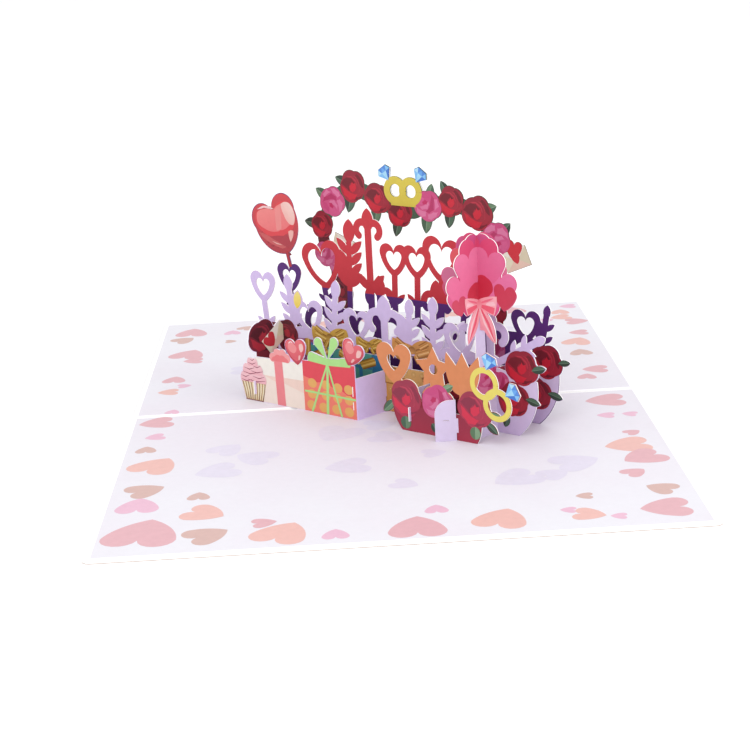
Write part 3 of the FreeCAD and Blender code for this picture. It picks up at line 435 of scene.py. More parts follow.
def green_bow(ink, knot):
    """Two upright loops over two lying ones."""
    for x, y, wide, slope in ((-4.2, 6.6, 1.8, -1), (3.9, 7.6, 1.8, 1)):
        loop = [(0, 0), (x + wide, y - slope), (x - wide, y + slope)]
        ink.lay(BOW_GREEN, outline(placed(loop, knot, 1), [0, 0.48, 0]))
    left = [(0, -2), (0, 0.7), (-7.6, 2.4), (-9.7, 0.9), (-9.8, -1.3)]
    right = [(0, 0.7), (0, -2), (11.3, -1.3), (10.4, 1.6), (6, 1.4)]
    ink.lay(BOW_GREEN, outline(placed(left, knot, 1), [0, 0, 0.2, 0.1, 0]))
    ink.lay(BOW_GREEN, outline(placed(right, knot, 1), [0, 0, 0.3, 0.1, 0]))


def cupcake(ink, middle, half=7, top=18):
    """Pleated paper cup under three turns of icing, drawn with dark lines."""
    cup = [(middle - half * 0.68, 0.15), (middle + half * 0.68, 0.15), (middle + half * 0.96, top * 0.45),
           (middle - half * 0.96, top * 0.45)]
    ink.lay("E9D3A6", cup)
    for k in range(9):
        share = -0.94 + 0.235 * k
        low, high = middle + half * 0.66 * share, middle + half * 0.93 * share
        pleat = [(low, 0.3), ((low + high) / 2 + 0.3, 4.0), (high, 7.7)]
        ink.lay("A8704C" if k % 2 else "7A4038", *strip(pleat, [0.5, 0.26, 0.42]))
        if k < 8:
            ink.lay("F6ECCB", *strip([(low + 0.9, 0.6), (high + 1.1, 7.2)], [0.3, 0.62]))
    ink.lay("8A4A50", *strip([cup[0], cup[1]], 0.4))
    for share, low, high in ((0.98, 0.42, 0.66), (0.74, 0.6, 0.84), (0.36, 0.8, 0.98)):
        swirl = [(middle - half * share, top * low), (middle + half * share, top * low),
                 (middle + half * share * 0.8, top * high), (middle - half * share * 0.8, top * high)]
        inset = [(middle + (x - middle) * 0.97, y) for x, y in swirl]
        ink.lay("F3B6BF", outline(inset, [0, 0.2, 0, 0.2]), to="F8CDD2")
    for left, right, height, sag in ((-6.6, -0.8, 8.3, 0.5), (-3, 6.5, 8.5, 0.5), (-6.5, -2, 10, 0.6),
                                     (0, 6, 10.1, 0.6), (-5.6, 2.6, 11.6, 0.7), (-1, 5.4, 12.3, 0.5),
                                     (-4.6, 1, 13.4, 0.6), (0.4, 4.3, 14.4, 0.4), (-2.4, 2, 15.6, 0.5),
                                     (-1.2, 1.2, 17, 0.3)):
        line = [(left, height), ((left + right) / 2, height - sag), (right, height + 0.4)]
        ink.lay("8A3450", *strip(placed(line, (middle, 0), 1), [0.12, 0.36, 0.12]))


# Rose sheet

def rose_row_print():
    ink = rank_print("rose_sheet", 0)
    left, right = on_rank(0, 3) - 14.2, on_rank(0, 4) + 7
    radius, low = 8.13, 10
    wide, lift = 14.5, 25.5
    shaded = blended(ORANGE, "A05030", 0.12)
    for place in (left + wide / 2 + 1.5, left + wide * 1.77, left + wide * 2.68):
        ink.lay(shaded, *strip([(place, low / 2), (place, lift - 4)], 3.3), to=ORANGE)
    ink.lay("AC3048", outline([(left + 10.1, 0.1), (right - 3, 0.1), (right - 1.2, low), (left + 6.2, low)],
                              [0, 0.1, 0, 0.1]), to="962A42")
    leaf(ink, (left + 7, low + 1), (left + 1.4, low - 3.9), 0.23, GREENS)
    leaf(ink, (left + 28.6, low + 7.5), (left + 34.4, low + 10.5), 0.23, PALE_GREENS)
    leaf(ink, (right + 1, low - 1), (right + 6.3, low - 4.9), 0.22, DARK_GREENS)
    leaf(ink, (right + 1, low + 1), (right + 7.4, low + 2.3), 0.22, GREENS)
    rose(ink, (left + 26.9, low + 3), radius * 0.97, 40, PINK_ROSE, 20)
    rose(ink, (left + 12.2, low + 2.4), radius, 100, ROW_ROSE, 0)
    rose(ink, (right - 3.7, low + 3), radius, 10, ROW_ROSE, -6)
    leaf(ink, (left + 11.8, 5.6), (left + 11.9, 0.7), 0.5, GREENS)
    leaf(ink, (right - 3.6, 6.4), (right - 3.7, 1.6), 0.5, PALE_GREENS)
    leaf(ink, (left + 24, 4.6), (left + 26.4, 1.4), 0.4, DARK_GREENS)
    one, two = (right + 0.9, low + 13.2), (right + 6.4, low + 6)
    finger_ring(ink, one, RING, RING_BAND, PALE_GOLD)
    finger_ring(ink, two, RING, RING_BAND, PALE_GOLD)
    gem(ink, polar(one, RING - 0.8, 78), 6.4, -22)
    gem(ink, polar(two, RING - 0.8, 48), 6.6, -62)
    ink.build("rose_sheet_print", INK)


# Lavender sheet

def boxes(ink, left):
    """Boxes in violet, teal, blue and gold paper behind the gifts, and beside them a dark field with darkened
    roses, painted shade.
    """
    teal, blue, dark_blue = "47958F", "2E7AAA", "1F5C86"
    first, edge, last = on_rank(1, 0), on_rank(1, 2), on_rank(1, 3)
    ink.lay("B79AD2", rectangle(left + 3.1, 0.1, first + 15.9, ROW + 1.4), to="A04878", across=(1, 0))
    ink.lay("4A74BE", [(first + 12, 8), (first + 15.9, 8), (first + 15.9, ROW), (first + 12.6, ROW + 1.3)])
    ink.lay(teal, rectangle(first + 14.2, 0.1, edge - 0.1, ROW - 0.7), to="57A79C", across=(1, 0.3))
    for k in range(4):
        start = first + 17 + 7.4 * k
        ink.lay(blue, rectangle(start, 0.1, start + 1.7, ROW - 0.8))
    ink.lay(dark_blue, rectangle(edge - 6.4, 0.1, edge - 0.1, ROW - 0.8), to=blue)
    ink.lay(teal, rectangle(first + 14.2, 15.6, edge - 6.6, 18.2), to=blue, across=(1, 0))
    gold_right = last - 2.1
    ink.lay("CB9046", rectangle(edge - 0.4, 0.1, gold_right, ROW - 4.1), to="DDA458")
    ink.lay("E0A95C", rectangle(edge - 0.4, ROW - 10.6, gold_right, ROW - 4.1), to="E6B66E")
    ink.lay("A8702F", rectangle(edge - 0.4, ROW - 11.2, gold_right, ROW - 10.7))
    for line in range(4):
        for column in range(7):
            spot = (edge + 2.2 + 3.9 * column + 1.9 * (line % 2), ROW - 6 - 3.6 * line)
            if spot[0] < gold_right - 1.4:
                ink.lay("D3A860", *strip(bend(spot, 1.0, 0, 360, 10), 0.3))
                ink.lay("EBCB8A", oval(spot, 0.3, 0.3, steps=8))
    ink.lay("B98AA0", rectangle(last - 2.0, 0.1, last + 1.8, ROW - 0.1), to="7E5C8E")
    # Dark maroon field and the darkened roses on it: painted shade
    ink.lay("5A1524", rectangle(last + 1.9, 0.1, on_rank(1, 4) - 4.1, ROW - 0.1), to="7A1F30")
    for spot in ((last + 7.5, 15), (last + 16, 10)):
        rose(ink, spot, 6.4, 20, SHADED_ROSE, 40)


def gold_turns(ink, left):
    """Gold and copper ribbon: upright and leaning turns, then three bows."""
    for reach, tones in ((26, GOLD_RIBBON), (52, GOLD_RIBBON), (66, COPPER_RIBBON), (91, COPPER_RIBBON),
                         (102, GOLD_RIBBON)):
        barrel(ink, (left + reach - 0.2, ROW - 5.6), (left + reach + 0.2, ROW + 1.9), 3.2, tones)
    turns = ((33, 20.6, 25, GOLD_RIBBON), (46, 20.8, 155, GOLD_RIBBON), (57, 19.6, 20, GOLD_RIBBON),
             (71, 17.4, 160, COPPER_RIBBON), (87, 17.2, 25, COPPER_RIBBON))
    for reach, height, lean, tones in turns:
        place = (left + reach, height - 1.6)
        barrel(ink, polar(place, 4, lean + 180), polar(place, 4, lean), 3.6, tones)
    for reach, lift, scale, tones in ((38, 3.6, 18, GOLD_RIBBON), (58, 3, 13, GOLD_RIBBON),
                                      (79, 3.6, 19, COPPER_RIBBON)):
        curled_bow(ink, (left + reach, ROW + lift), scale, tones)


def end_panel(ink, inner, foot, end, top):
    """Pale lavender panel at the right end of a rank sheet, under its roses: a lavender field, made lighter
    than the card and lighter towards the top as painted light.
    """
    corners = [(inner, 0.1), (foot, 0.1), (end, ROW - 1), (inner, top)]
    ink.lay("DEC8F0", outline(corners, [0, 0.13, 0, 0]), to="E6D6F6")


def lavender_print():
    ink = rank_print("lavender_sheet", 1)
    left, right = on_rank(1, 0) - 13, on_rank(1, 4) + 18
    boxes(ink, left)
    gold_turns(ink, left)
    # Yellow drop among the ornaments
    drop = leaf_shape((left + 21.5, ROW + 13.3), (left + 22.4, ROW + 20.6), 0.27)
    ink.lay("F2D24E", drop, to="F7E38A")
    # Panel at the right end, its lavender lightened by painted light, and its roses; at the left, roses
    # darkened by painted shade
    end_panel(ink, on_rank(1, 4) - 4.9, right - 8.5, right - 0.2, ROW + 2.8)
    rose(ink, (right - 16.8, ROW - 4), 5.8, 20, PINK_ROSE)
    rose(ink, (right - 10.6, ROW - 9), BLOOM, 60, RED_ROSE, 10)
    rose(ink, (right - 6.6, ROW + 3.6), 7.75, 20)
    leaf(ink, (right - 2.2, ROW + 3), (right + 3.8, ROW + 4.5), tones=DARK_GREENS)
    leaf(ink, (right - 5, ROW - 8), (right + 1.0, ROW - 9.4), tones=DARK_GREENS)
    leaf(ink, (right - 13, ROW - 15), (right - 14.6, ROW - 20), 0.3, DARK_GREENS)
    leaf(ink, (right - 17.4, ROW - 4), (right - 21, ROW - 8), 0.26)
    rose(ink, (left + 5.6, ROW - 1.6), BLOOM * 1.24, 80, SHADED_ROSE, 10)
    rose(ink, (left + 15, ROW + 2.6), BLOOM * 0.86, 30, SHADED_ROSE, 60)
    ink.build("lavender_sheet_print", INK)


# Violet sheet

def violet_print():
    ink = rank_print("violet_sheet", 2)
    left, right = on_rank(2, 0) - 15.5, on_rank(2, 4) + 15
    end_panel(ink, on_rank(2, 4) - 7.9, right - 9.2, right - 0.2, ROW + 1.8)
    rose(ink, (right - 15.5, ROW - 5), 5.6, 20, PINK_ROSE)
    rose(ink, (right - 10, ROW - 11), 7.2, 60, RED_ROSE, 10)
    rose(ink, (right - 5.6, ROW + 2), BLOOM, 20, RED_ROSE, -10)
    leaf(ink, (right - 0.2, ROW + 2), (right + 4.8, ROW + 2.8), tones=DARK_GREENS)
    leaf(ink, (right - 5, ROW - 10), (right + 1.2, ROW - 11.4), tones=DARK_GREENS)
    leaf(ink, (right - 11.5, ROW - 3), (right - 15.4, ROW - 5.4))
    balloon(ink, (left - 0.2, ROW + 42.4), 24, 24)
    ink.lay("B8303C", *strip([(left + 4, ROW + 32), (left + 5.6, ROW + 25.6)], [1.1, 1.6]))
    ink.build("violet_sheet_print", INK)


def balloon(ink, centre, scale, lean):
    """Foil balloon in the shape of a heart, with a crinkled seam and highlights."""
    def area(colour, points, swell=0.08, to=None, across=(0, 1)):
        ink.lay(colour, outline(placed(points, centre, scale, lean), swell, 5), to=to, across=across)

    ink.lay("B23844", heart(centre, scale * 0.985, lean, 0.19), to="D5484F")
    for k in range(13):
        turn = 160 + 205 * k / 12
        foot, tip = polar((0, 0), 0.6, turn), polar((0, 0.03), 0.4, turn + 4)
        reach = 1 - 0.3 * abs(math.sin(math.radians(turn - 90)) ** 4)
        foot = (foot[0] * 0.84 * reach, foot[1] * 0.62 * reach)
        area("9A2A3A", [foot, (tip[0] + 0.02, tip[1]), (tip[0] - 0.02, tip[1] - 0.02)], 0)
    area("DC444C", [(-0.45, 0.2), (-0.38, 0.02), (-0.23, -0.12), (-0.08, -0.2), (0.1, -0.2),
                    (0.3, -0.18), (0.44, -0.04), (0.46, 0.14), (0.38, 0.3), (0.2, 0.34),
                    (0.02, 0.24), (-0.16, 0.36), (-0.36, 0.36)])
    area("E87376", [(-0.41, 0.2), (-0.31, 0.05), (-0.08, -0.09), (0.02, -0.1), (0.23, -0.1),
                    (0.4, -0.03), (0.43, 0.14), (0.36, 0.28), (0.2, 0.3), (0.04, 0.26),
                    (-0.2, 0.36), (-0.34, 0.35)], to="EC8684", across=(-0.3, 1))
    area("C85A5C", [(-0.47, 0.04), (-0.4, -0.1), (-0.26, -0.26), (-0.08, -0.4), (0.02, -0.4),
                    (-0.1, -0.28), (-0.3, -0.08)], 0.03)
    area("B03A46", [(-0.26, -0.12), (-0.12, -0.26), (0.04, -0.42), (0.16, -0.4), (0.2, -0.24),
                    (0.04, -0.21)], 0.03)
    area("E98C8A", [(-0.06, -0.08), (0.06, -0.09), (0.22, 0.28), (0.08, 0.26)], 0.02)
    area("EFB4AC", [(0.27, -0.07), (0.35, -0.12), (0.43, -0.04), (0.47, 0.1), (0.44, 0.24),
                    (0.34, 0.3), (0.25, 0.29), (0.23, 0.12)], 0.08, to="F2CEC6", across=(0.6, 0.6))
    area("EDB0A8", [(0.15, -0.36), (0.26, -0.28), (0.3, -0.21), (0.25, -0.18), (0.19, -0.18),
                    (0.16, -0.26)], 0.04)
    area("F0C8C8", [(-0.31, 0.4), (-0.14, 0.37), (0.0, 0.3), (0.06, 0.27), (-0.02, 0.35),
                    (-0.16, 0.41)], 0.03)
    line = placed([(-0.24, -0.21), (-0.16, -0.28), (-0.06, -0.34)], centre, scale, lean)
    ink.lay("E8B0A8", *strip(line, [0.1, 0.5, 0.1]))
    knot = placed([(0.0, -0.5), (0.03, -0.5), (0.05, -0.56), (-0.01, -0.56)], centre, scale, lean)
    ink.lay("8E2C3C", knot[::-1])


# Arch sheet

BLOOMS = [(-0.69, 0.66, 0.8, 10), (-0.705, 0.815, 0.84, 60), (-0.61, 0.945, 0.94, 35),
          (-0.44, 1.035, 0.97, 80), (-0.25, 0.985, 0.94, 0), (-0.08, 0.92, 0.88, 50),
          (0.135, 0.97, 0.94, 20), (0.305, 1, 0.9, 70), (0.49, 0.955, 1.03, 30), (0.617, 0.83, 1, 90)]
PINK_BLOOMS = (0, 2, 6, 9)


def arch_print():
    ink = rank_print("arch_sheet", 3)
    middle = (on_rank(3, 0) + on_rank(3, 3)) / 2
    half, wide, sill, top = 33, 10, 16, 77.5
    span = 2 * half
    centres = [(middle + share * span, height * top) for share, height, _, _ in BLOOMS]
    ink.lay(LAVENDER, rectangle(middle - half - wide + 0.1, 0.1, middle + half + wide - 0.1, sill - 0.1))
    for side in (-1, 1):
        leg_roses(ink, side, middle + side * (half + wide / 2), sill)
    leaves = ((1, 1.25, 175), (2, 1.3, 150), (3, 1.25, 160), (3, 1.5, 255), (4, 1.45, 262), (5, 1.35, 255),
              (6, 1.5, 262), (6, 1.2, 75), (7, 1.4, 262), (7, 1.2, 120), (8, 1.3, 20), (9, 1.3, 45))
    for number, reach, out in leaves:
        tip = polar(centres[number], BLOOM * reach * 0.985, out)
        leaf(ink, centres[number], tip, 0.235, DARK_GREENS if number % 2 else GREENS)
    envelope(ink, (middle - 0.537 * span, 0.717 * top), 11, -18)
    envelope(ink, (middle + 0.757 * span, 0.745 * top), 12, 22)
    ink.lay("D8323E", heart((middle + 0.74 * span, 0.79 * top), 7.3, -8))
    for number in (0, 9, 2, 1, 3, 8, 5, 7, 4, 6):
        _, _, grown, turn = BLOOMS[number]
        tones, spin = (PINK_ROSE, 60 * number) if number in PINK_BLOOMS else (RED_ROSE, 5)
        rose(ink, centres[number], BLOOM * grown, turn, tones, spin)
    crown_rings(ink, middle - RING / 2, top + 2.6)
    ink.build("arch_sheet_print", INK)


def leg_roses(ink, side, leg, sill):
    """Small roses darkened by painted shade, leaves and three larger roses up one leg of the arch, one of
    them also darkened by painted shade.
    """
    for number, lift in enumerate((-8, 0, 13, 26, 38)):
        if lift < 38 or side > 0:
            place = (leg + (2 if number % 2 else -2), sill + lift)
            rose(ink, place, BLOOM * 0.56, 30 * number, SHADED_ROSE, 20)
    for lift, out in ((12, 200), (26, -20)):
        spot = (leg + 1.5, sill + lift)
        leaf(ink, spot, polar(spot, 5.5, out), 0.28, DARK_GREENS)
    for number, lift in enumerate((32, 20, 6)):
        tones = (PINK_ROSE, SHADED_ROSE, RED_ROSE)[number if side < 0 else (number + 1) % 3]
        rose(ink, (leg, sill + lift), BLOOM * 0.92, 40 * side, tones, 10 * number)


def crown_rings(ink, crown, height):
    """Two gold rings side by side on a plate, each with its stone."""
    apart, reach, wide = RING * 0.62, RING * 0.92, RING_BAND * 1.45
    rings = [(crown + side * apart, height) for side in (-1, 1)]
    low = height - reach
    ink.lay(GOLD, rectangle(rings[0][0] - 2.3, low - 0.3, rings[1][0] + 2.3, low + wide))
    for centre in rings:
        finger_ring(ink, centre, reach, wide)
    for centre, side in zip(rings, (-1, 1)):
        gem(ink, polar(centre, reach - 0.8, 90 - 38 * side), 6.4, -34 * side)


# Cross sheets

def left_cross_print():
    ink = cross_print("left_cross_sheet", 0)
    front, second = on_cross(0, 0), on_cross(1, 0)
    # Dark maroon field and darkened roses: painted shade
    ink.lay("7C2434", rectangle(front + 1.1, 12, second - 3.2, 24.8), to="8C2A3A")
    rose(ink, (second + 3.5, 22), 6.84, 75, SHADED_ROSE, 60)
    rose(ink, (front + 4.6, 25.7), 7.9, 30, SHADED_ROSE, 0)
    # Envelope in tones lighter than the other envelopes: painted light
    envelope(ink, (second - 4.5, 24), 12, 35, ("FCF3D8", "FBDCC8", "F0E4C0"), ((-0.22, 0.08), 0.5))
    ink.build("left_cross_sheet_print", INK)


def right_cross_print():
    ink = cross_print("right_cross_sheet", 3)
    second = on_cross(1, 3)
    ink.lay("F3E9F8", *strip(bend((second + 8.9, 31), 1.9, 0, 360, 20), 0.7))
    ink.build("right_cross_sheet_print", INK)


BUNCH_TOP, BUNCH = 74.5, 26


def bunch(ink, axis, front_arm, back_arm, front_tones, shaded_back_tones):
    """Heart shaped leaves of the bouquet on one sheet. Tones from the top leaf to the last one laid; the back
    arm's tones are darker, painted shade, and each leaf turns a little lighter towards its top.
    """
    lobes = [((0.05, -0.25), 0.58), ((0.72, -0.82), 0.35), ((0.58, -0.69), 0.52), ((0.26, -0.42), 0.56)]
    for arm, tones in ((back_arm, shaded_back_tones), (front_arm, front_tones)):
        lean = -10 if arm > 0 else 10
        for tone, ((share, drop), scale) in zip(tones, lobes):
            centre = (axis + arm * share * BUNCH, BUNCH_TOP + drop * BUNCH)
            ink.lay(tone, heart(centre, scale * BUNCH * 0.975, lean), to=blended(tone, WHITE, 0.08))


def pink_ribbon(ink, axis, tail, wide):
    """Crumpled bow and one ribbon end."""
    knot, span = (axis, BUNCH_TOP - 0.94 * BUNCH), wide * BUNCH
    tip = (axis + tail * BUNCH * 0.98, knot[1] - 0.53 * BUNCH)
    ink.lay("F6909F", leaf_shape(knot, tip, 0.15), to="FBB6C0")
    middle = ((knot[0] + tip[0]) / 2, (knot[1] + tip[1]) / 2)
    ink.lay("EC5C74", *strip([knot, (middle[0] + 0.7, middle[1]), tip], [0.7, 1.1, 0.2]))
    ink.lay("FCD0D6", *strip([knot, (middle[0] - 0.9, middle[1]), tip], [0.2, 0.8, 0.2]))
    for side in (1, -1):
        def area(colour, points, swell, to=None):
            flipped = [(x * side, y) for x, y in points][::side]
            ink.lay(colour, outline(placed(flipped, knot, span * 0.96), swell, 5), to=to, across=(side, 0.2))

        area("F894A4", [(0, -0.06), (0.42, -0.22), (0.5, 0.22), (0, 0.1)], 0.06, to="FBB4BE")
        area("EE6078", [(0.04, -0.05), (0.4, -0.2), (0.44, -0.04), (0.06, 0.0)], 0.02)
        area("FCC8D0", [(0.2, 0.0), (0.46, 0.02), (0.42, 0.1), (0.22, 0.04)], 0.05)
        area("F0708A", [(0.06, 0.02), (0.3, 0.1), (0.42, 0.18), (0.1, 0.07)], 0.03)
    ink.lay("F9A8B4", oval(knot, span * 0.09, span * 0.11), to="EE7A8C")


def bouquet_cross_print():
    ink = cross_print("bouquet_cross_sheet", 4)
    axis, second, top = on_cross(0.5, 4), on_cross(1, 4), BUNCH_TOP
    # The second set of tones, for the back arm, is darker: painted shade
    bunch(ink, axis, -0.58, 0.5, ("DA406E", "E0588A", "E96A98", "EA6F9C"),
          ("C84078", "C84A7A", "D85A88", "DE5C8C"))
    ink.lay("CC3048", outline([(axis - 0.1, top - 25.4), (axis - 0.1, top - 16.6), (axis - 3, top - 16.8),
                               (axis - 5.8, top - 21)], [0, 0.16, 0.16, 0.1]))
    ink.lay("D04460", heart((axis - 9.9, top - 23.6), 7, 12))
    pink_ribbon(ink, axis, -0.25, 0.58)
    rose(ink, (second + 3, 19), 6.08, 60, RED_ROSE, 20)
    rose(ink, (second - 4, 21), BLOOM, 20, PINK_ROSE)
    ink.build("bouquet_cross_sheet_print", INK)


def bouquet_fan_print():
    ink = rank_print("bouquet_fan_sheet", 0.5)
    axis, top = on_rank(0.5, 4), BUNCH_TOP
    # The second set of tones, for the back arm, is darker: painted shade
    bunch(ink, axis, 0.63, -0.58, ("D63868", "CC3A5C", "E2689A", "E0608F"),
          ("C84078", "C04468", "C86088", "DC4A52"))
    ink.lay("C8243F", outline([(axis + 0.1, top - 23.6), (axis + 6.4, top - 19.2), (axis + 4.2, top - 14.4),
                               (axis + 0.1, top - 14)], [0.08, 0.2, 0.16, 0]))
    ink.lay("CA3450", heart((axis + 11.4, top - 20.8), 9.2, -8))
    pink_ribbon(ink, axis, 0.27, 0.65)
    ink.build("bouquet_fan_sheet_print", INK)


# Pages

EDGE_HEARTS = [
    ("rose", -89, -9, 14, -80), ("pink", -88, -27, 8, -75), ("tan", -90, -42, 8, 180),
    ("peach", -85, -61, 18, 150), ("pink", -87, -102, 15, 178), ("tan", -86, -87, 14, 115),
    ("rose", -83, -128, 25, 170), ("tan", -62, -133, 15, 120), ("tan", -67, -96, 8, 180),
    ("peach", -64, -113, 15, 60), ("peach", -38, -135, 19, 155), ("rose", -44, -125, 8.5, 100),
    ("pink", -21, -139, 9, 180), ("rose", 5, -137, 19, 178), ("pink", 12, -122, 8, 180),
    ("peach", 32, -134, 18, 160), ("pink", 54, -130, 5.5, -100), ("tan", 61, -118, 6, -95),
    ("peach", 60, -135, 11, 70), ("pink", 69, -138, 5.5, -100), ("rose", 85, -133, 17, -90),
    ("tan", 87, -115, 11, -125), ("rose", 81, -98, 9, 125), ("peach", 84, -69, 17, -85),
    ("rose", 87, -83, 16, -65), ("rose", 88, -55, 6.5, 120), ("pink", 91, -33, 6, -110),
    ("pink", 82, -33, 7, -100), ("rose", 85, -14, 16, -90), ("rose", 83, 20, 8, 170),
    ("rose", 88, 30, 11, -95), ("tan", 86, 57, 10, 180), ("peach", 87, 75, 13, 160),
    ("rose", 90, 90, 9, -90), ("rose", 92, 110, 11, 90), ("peach", 86, 119, 10, -80),
    ("pink", 79, 115, 6.5, 100), ("peach", 87, 129, 9, 170), ("pink", 92, 139, 8, -90),
    ("rose", -85, 130, 15, 175), ("tan", -88, 117, 11, 130), ("rose", -84, 91, 16, 160),
    ("rose", -81, 80, 9, -90), ("rose", -87, 51, 10, 175), ("pink", -82, 41, 6, 100),
    ("peach", -88, 33, 9, -90), ("tan", -60, 133, 8, 150), ("pink", -66, 126, 8, 180),
    ("tan", -66, 110, 5.5, 90), ("pink", -84, 4.6, 6, 170), ("rose", -40, 138, 12, 170),
    ("peach", -22, 132, 14, 150), ("rose", 2, 138, 16, 180), ("pink", 18, 128, 7, 100),
    ("peach", 34, 137, 13, -160), ("tan", 52, 130, 9, 120), ("rose", 66, 137, 12, 180),
]
GHOST_HEARTS = [
    (-19, -36, 18, -30), (-3, -28, 12, 100), (-1, -44, 13, 60), (-60, -47, 13, 140), (-49, -58, 15, -120),
    (-62, -71, 16, -70), (-16, -74, 16, -80), (15, -65, 9, 100), (3, -96, 10, 60), (41, -97, 17, -60),
    (54, -95, 11, 120), (63, -84, 17, 110), (-40, 40, 14, 20), (-58, 60, 12, 90), (-30, 90, 15, -60),
    (10, 100, 13, 45), (40, 70, 14, 170), (56, 104, 12, -30), (66, 44, 11, 80),
]
HEART_INK = {"rose": "E9B6BE", "peach": "F3C1B9", "tan": "DDB9B2", "pink": "F1C2D8"}


def page_print(node, side):
    ink = Print(node, (0, 0, 0.5), (1, 0, 0), (0, 1, 0), 0.6, both=False)
    for x, y, size, lean in GHOST_HEARTS:
        if y * side > 0:
            ink.lay("EAE4F5", heart((x, y), size, lean))
    for colour, x, y, size, lean in EDGE_HEARTS:
        if y * side > 0:
            ink.lay(HEART_INK[colour], heart((x, y), size * 0.96, lean))
    ink.build(node + "_print", INK)


# Materials

def material(name):
    made = bpy.data.materials.new(name)
    made.use_nodes = True
    return made, made.node_tree, made.node_tree.nodes["Principled BSDF"]


def node(tree, kind, **settings):
    made = tree.nodes.new(kind)
    for key, setting in settings.items():
        setattr(made, key, setting)
    return made


def noise(tree, scale, detail=3.0):
    place = node(tree, "ShaderNodeTexCoord")
    made = node(tree, "ShaderNodeTexNoise")
    made.inputs["Scale"].default_value = scale
    made.inputs["Detail"].default_value = detail
    tree.links.new(place.outputs["Object"], made.inputs["Vector"])
    return made


def ramp(tree, source, stops):
    made = node(tree, "ShaderNodeValToRGB")
    made.color_ramp.elements[0].position, made.color_ramp.elements[0].color = stops[0][0], stops[0][1]
    made.color_ramp.elements[1].position, made.color_ramp.elements[1].color = stops[1][0], stops[1][1]
    tree.links.new(source, made.inputs["Fac"])
    return made.outputs["Color"]


def mixed(tree, share, first, second, mode="MIX"):
    """Mix of two colours, each a socket or a linear colour."""
    made = node(tree, "ShaderNodeMix", data_type="RGBA", blend_type=mode)
    for name, item in (("Factor_Float", share), ("A_Color", first), ("B_Color", second)):
        socket = next(s for s in made.inputs if s.identifier == name)
        if isinstance(item, bpy.types.NodeSocket):
            tree.links.new(item, socket)
        else:
            socket.default_value = item
    return next(s for s in made.outputs if s.identifier == "Result_Color")


def maths(tree, operation, *items):
    made = node(tree, "ShaderNodeMath", operation=operation)
    for socket, item in zip(made.inputs, items):
        if isinstance(item, bpy.types.NodeSocket):
            tree.links.new(item, socket)
        else:
            socket.default_value = item
    return made.outputs[0]


def grain(tree, shader, depth=0.03):
    """Fine tooth of the card's surface."""
    fibres = noise(tree, 2600, 4.0)
    bump = node(tree, "ShaderNodeBump")
    bump.inputs["Strength"].default_value = depth
    bump.inputs["Distance"].default_value = 0.0002
    tree.links.new(fibres.outputs["Fac"], bump.inputs["Height"])
    tree.links.new(bump.outputs["Normal"], shader.inputs["Normal"])


def mottled(tree, colour, depth=0.05, scale=420, tone=TONE):
    """The colour with the faint unevenness of ink on card."""
    low, high = [tone * (1 - depth)] * 3 + [1], [tone] * 3 + [1]
    spots = ramp(tree, noise(tree, scale).outputs["Fac"], ((0.3, low), (0.7, high)))
    return mixed(tree, 1.0, colour, spots, "MULTIPLY")


def ink_material():
    made, tree, shader = material("printed_ink")
    inks = node(tree, "ShaderNodeAttribute", attribute_name="ink")
    tree.links.new(mottled(tree, inks.outputs["Color"]), shader.inputs["Base Color"])
    shader.inputs["Roughness"].default_value = 0.5
    shader.inputs["Specular IOR Level"].default_value = 0.35
    grain(tree, shader)
    return made


def faces_of(tree, direction):
    """1 on faces across the direction, 0 on the cut edges."""
    geometry = node(tree, "ShaderNodeNewGeometry")
    across = node(tree, "ShaderNodeVectorMath", operation="DOT_PRODUCT")
    across.inputs[1].default_value = direction
    tree.links.new(geometry.outputs["True Normal"], across.inputs[0])
    return maths(tree, "GREATER_THAN", maths(tree, "ABSOLUTE", across.outputs["Value"]), 0.9)


def height_mix(tree, level, below, above, span=None):
    """One colour below a height and another above it, all over or in a span along a rank sheet."""
    place = node(tree, "ShaderNodeTexCoord")
    split = node(tree, "ShaderNodeSeparateXYZ")
    tree.links.new(place.outputs["Object"], split.inputs[0])
    share = maths(tree, "GREATER_THAN", split.outputs["Z"], level * MM)
    if span:
        along = maths(tree, "SUBTRACT", maths(tree, "MULTIPLY", split.outputs["X"], math.cos(ANGLE)),
                      maths(tree, "MULTIPLY", split.outputs["Y"], math.sin(ANGLE)))
        share = maths(tree, "MULTIPLY", share, maths(tree, "GREATER_THAN", along, span[0] * MM))
        share = maths(tree, "MULTIPLY", share, maths(tree, "LESS_THAN", along, span[1] * MM))
    return mixed(tree, share, below, above)


def card_material(name, directions, colours, depth=0.06, span=None, painted_shadow_edge=None, tone=TONE):
    """Printed card with white cut edges, optionally darker below their middle as a painted shadow. colours is
    one colour, or (level, below, above).
    """
    made, tree, shader = material(name)
    share = faces_of(tree, directions[0])
    for direction in directions[1:]:
        share = maths(tree, "MAXIMUM", share, faces_of(tree, direction))
    if isinstance(colours, str):
        colour = linear(colours)
    else:
        level, below, above = colours
        colour = height_mix(tree, level, linear(below), linear(above), span)
    edge = linear("FBFAF8")
    # Lower part of the cut edges in a darker colour: painted contact shadow
    if painted_shadow_edge:
        edge = height_mix(tree, 0.24, linear(painted_shadow_edge), edge)
    edge = mottled(tree, edge, 0.05, 1500, 0.95)
    colour = mottled(tree, colour, depth, tone=tone)
    tree.links.new(mixed(tree, share, edge, colour), shader.inputs["Base Color"])
    shader.inputs["Roughness"].default_value = 0.55
    shader.inputs["Specular IOR Level"].default_value = 0.3
    grain(tree, shader)
    return made


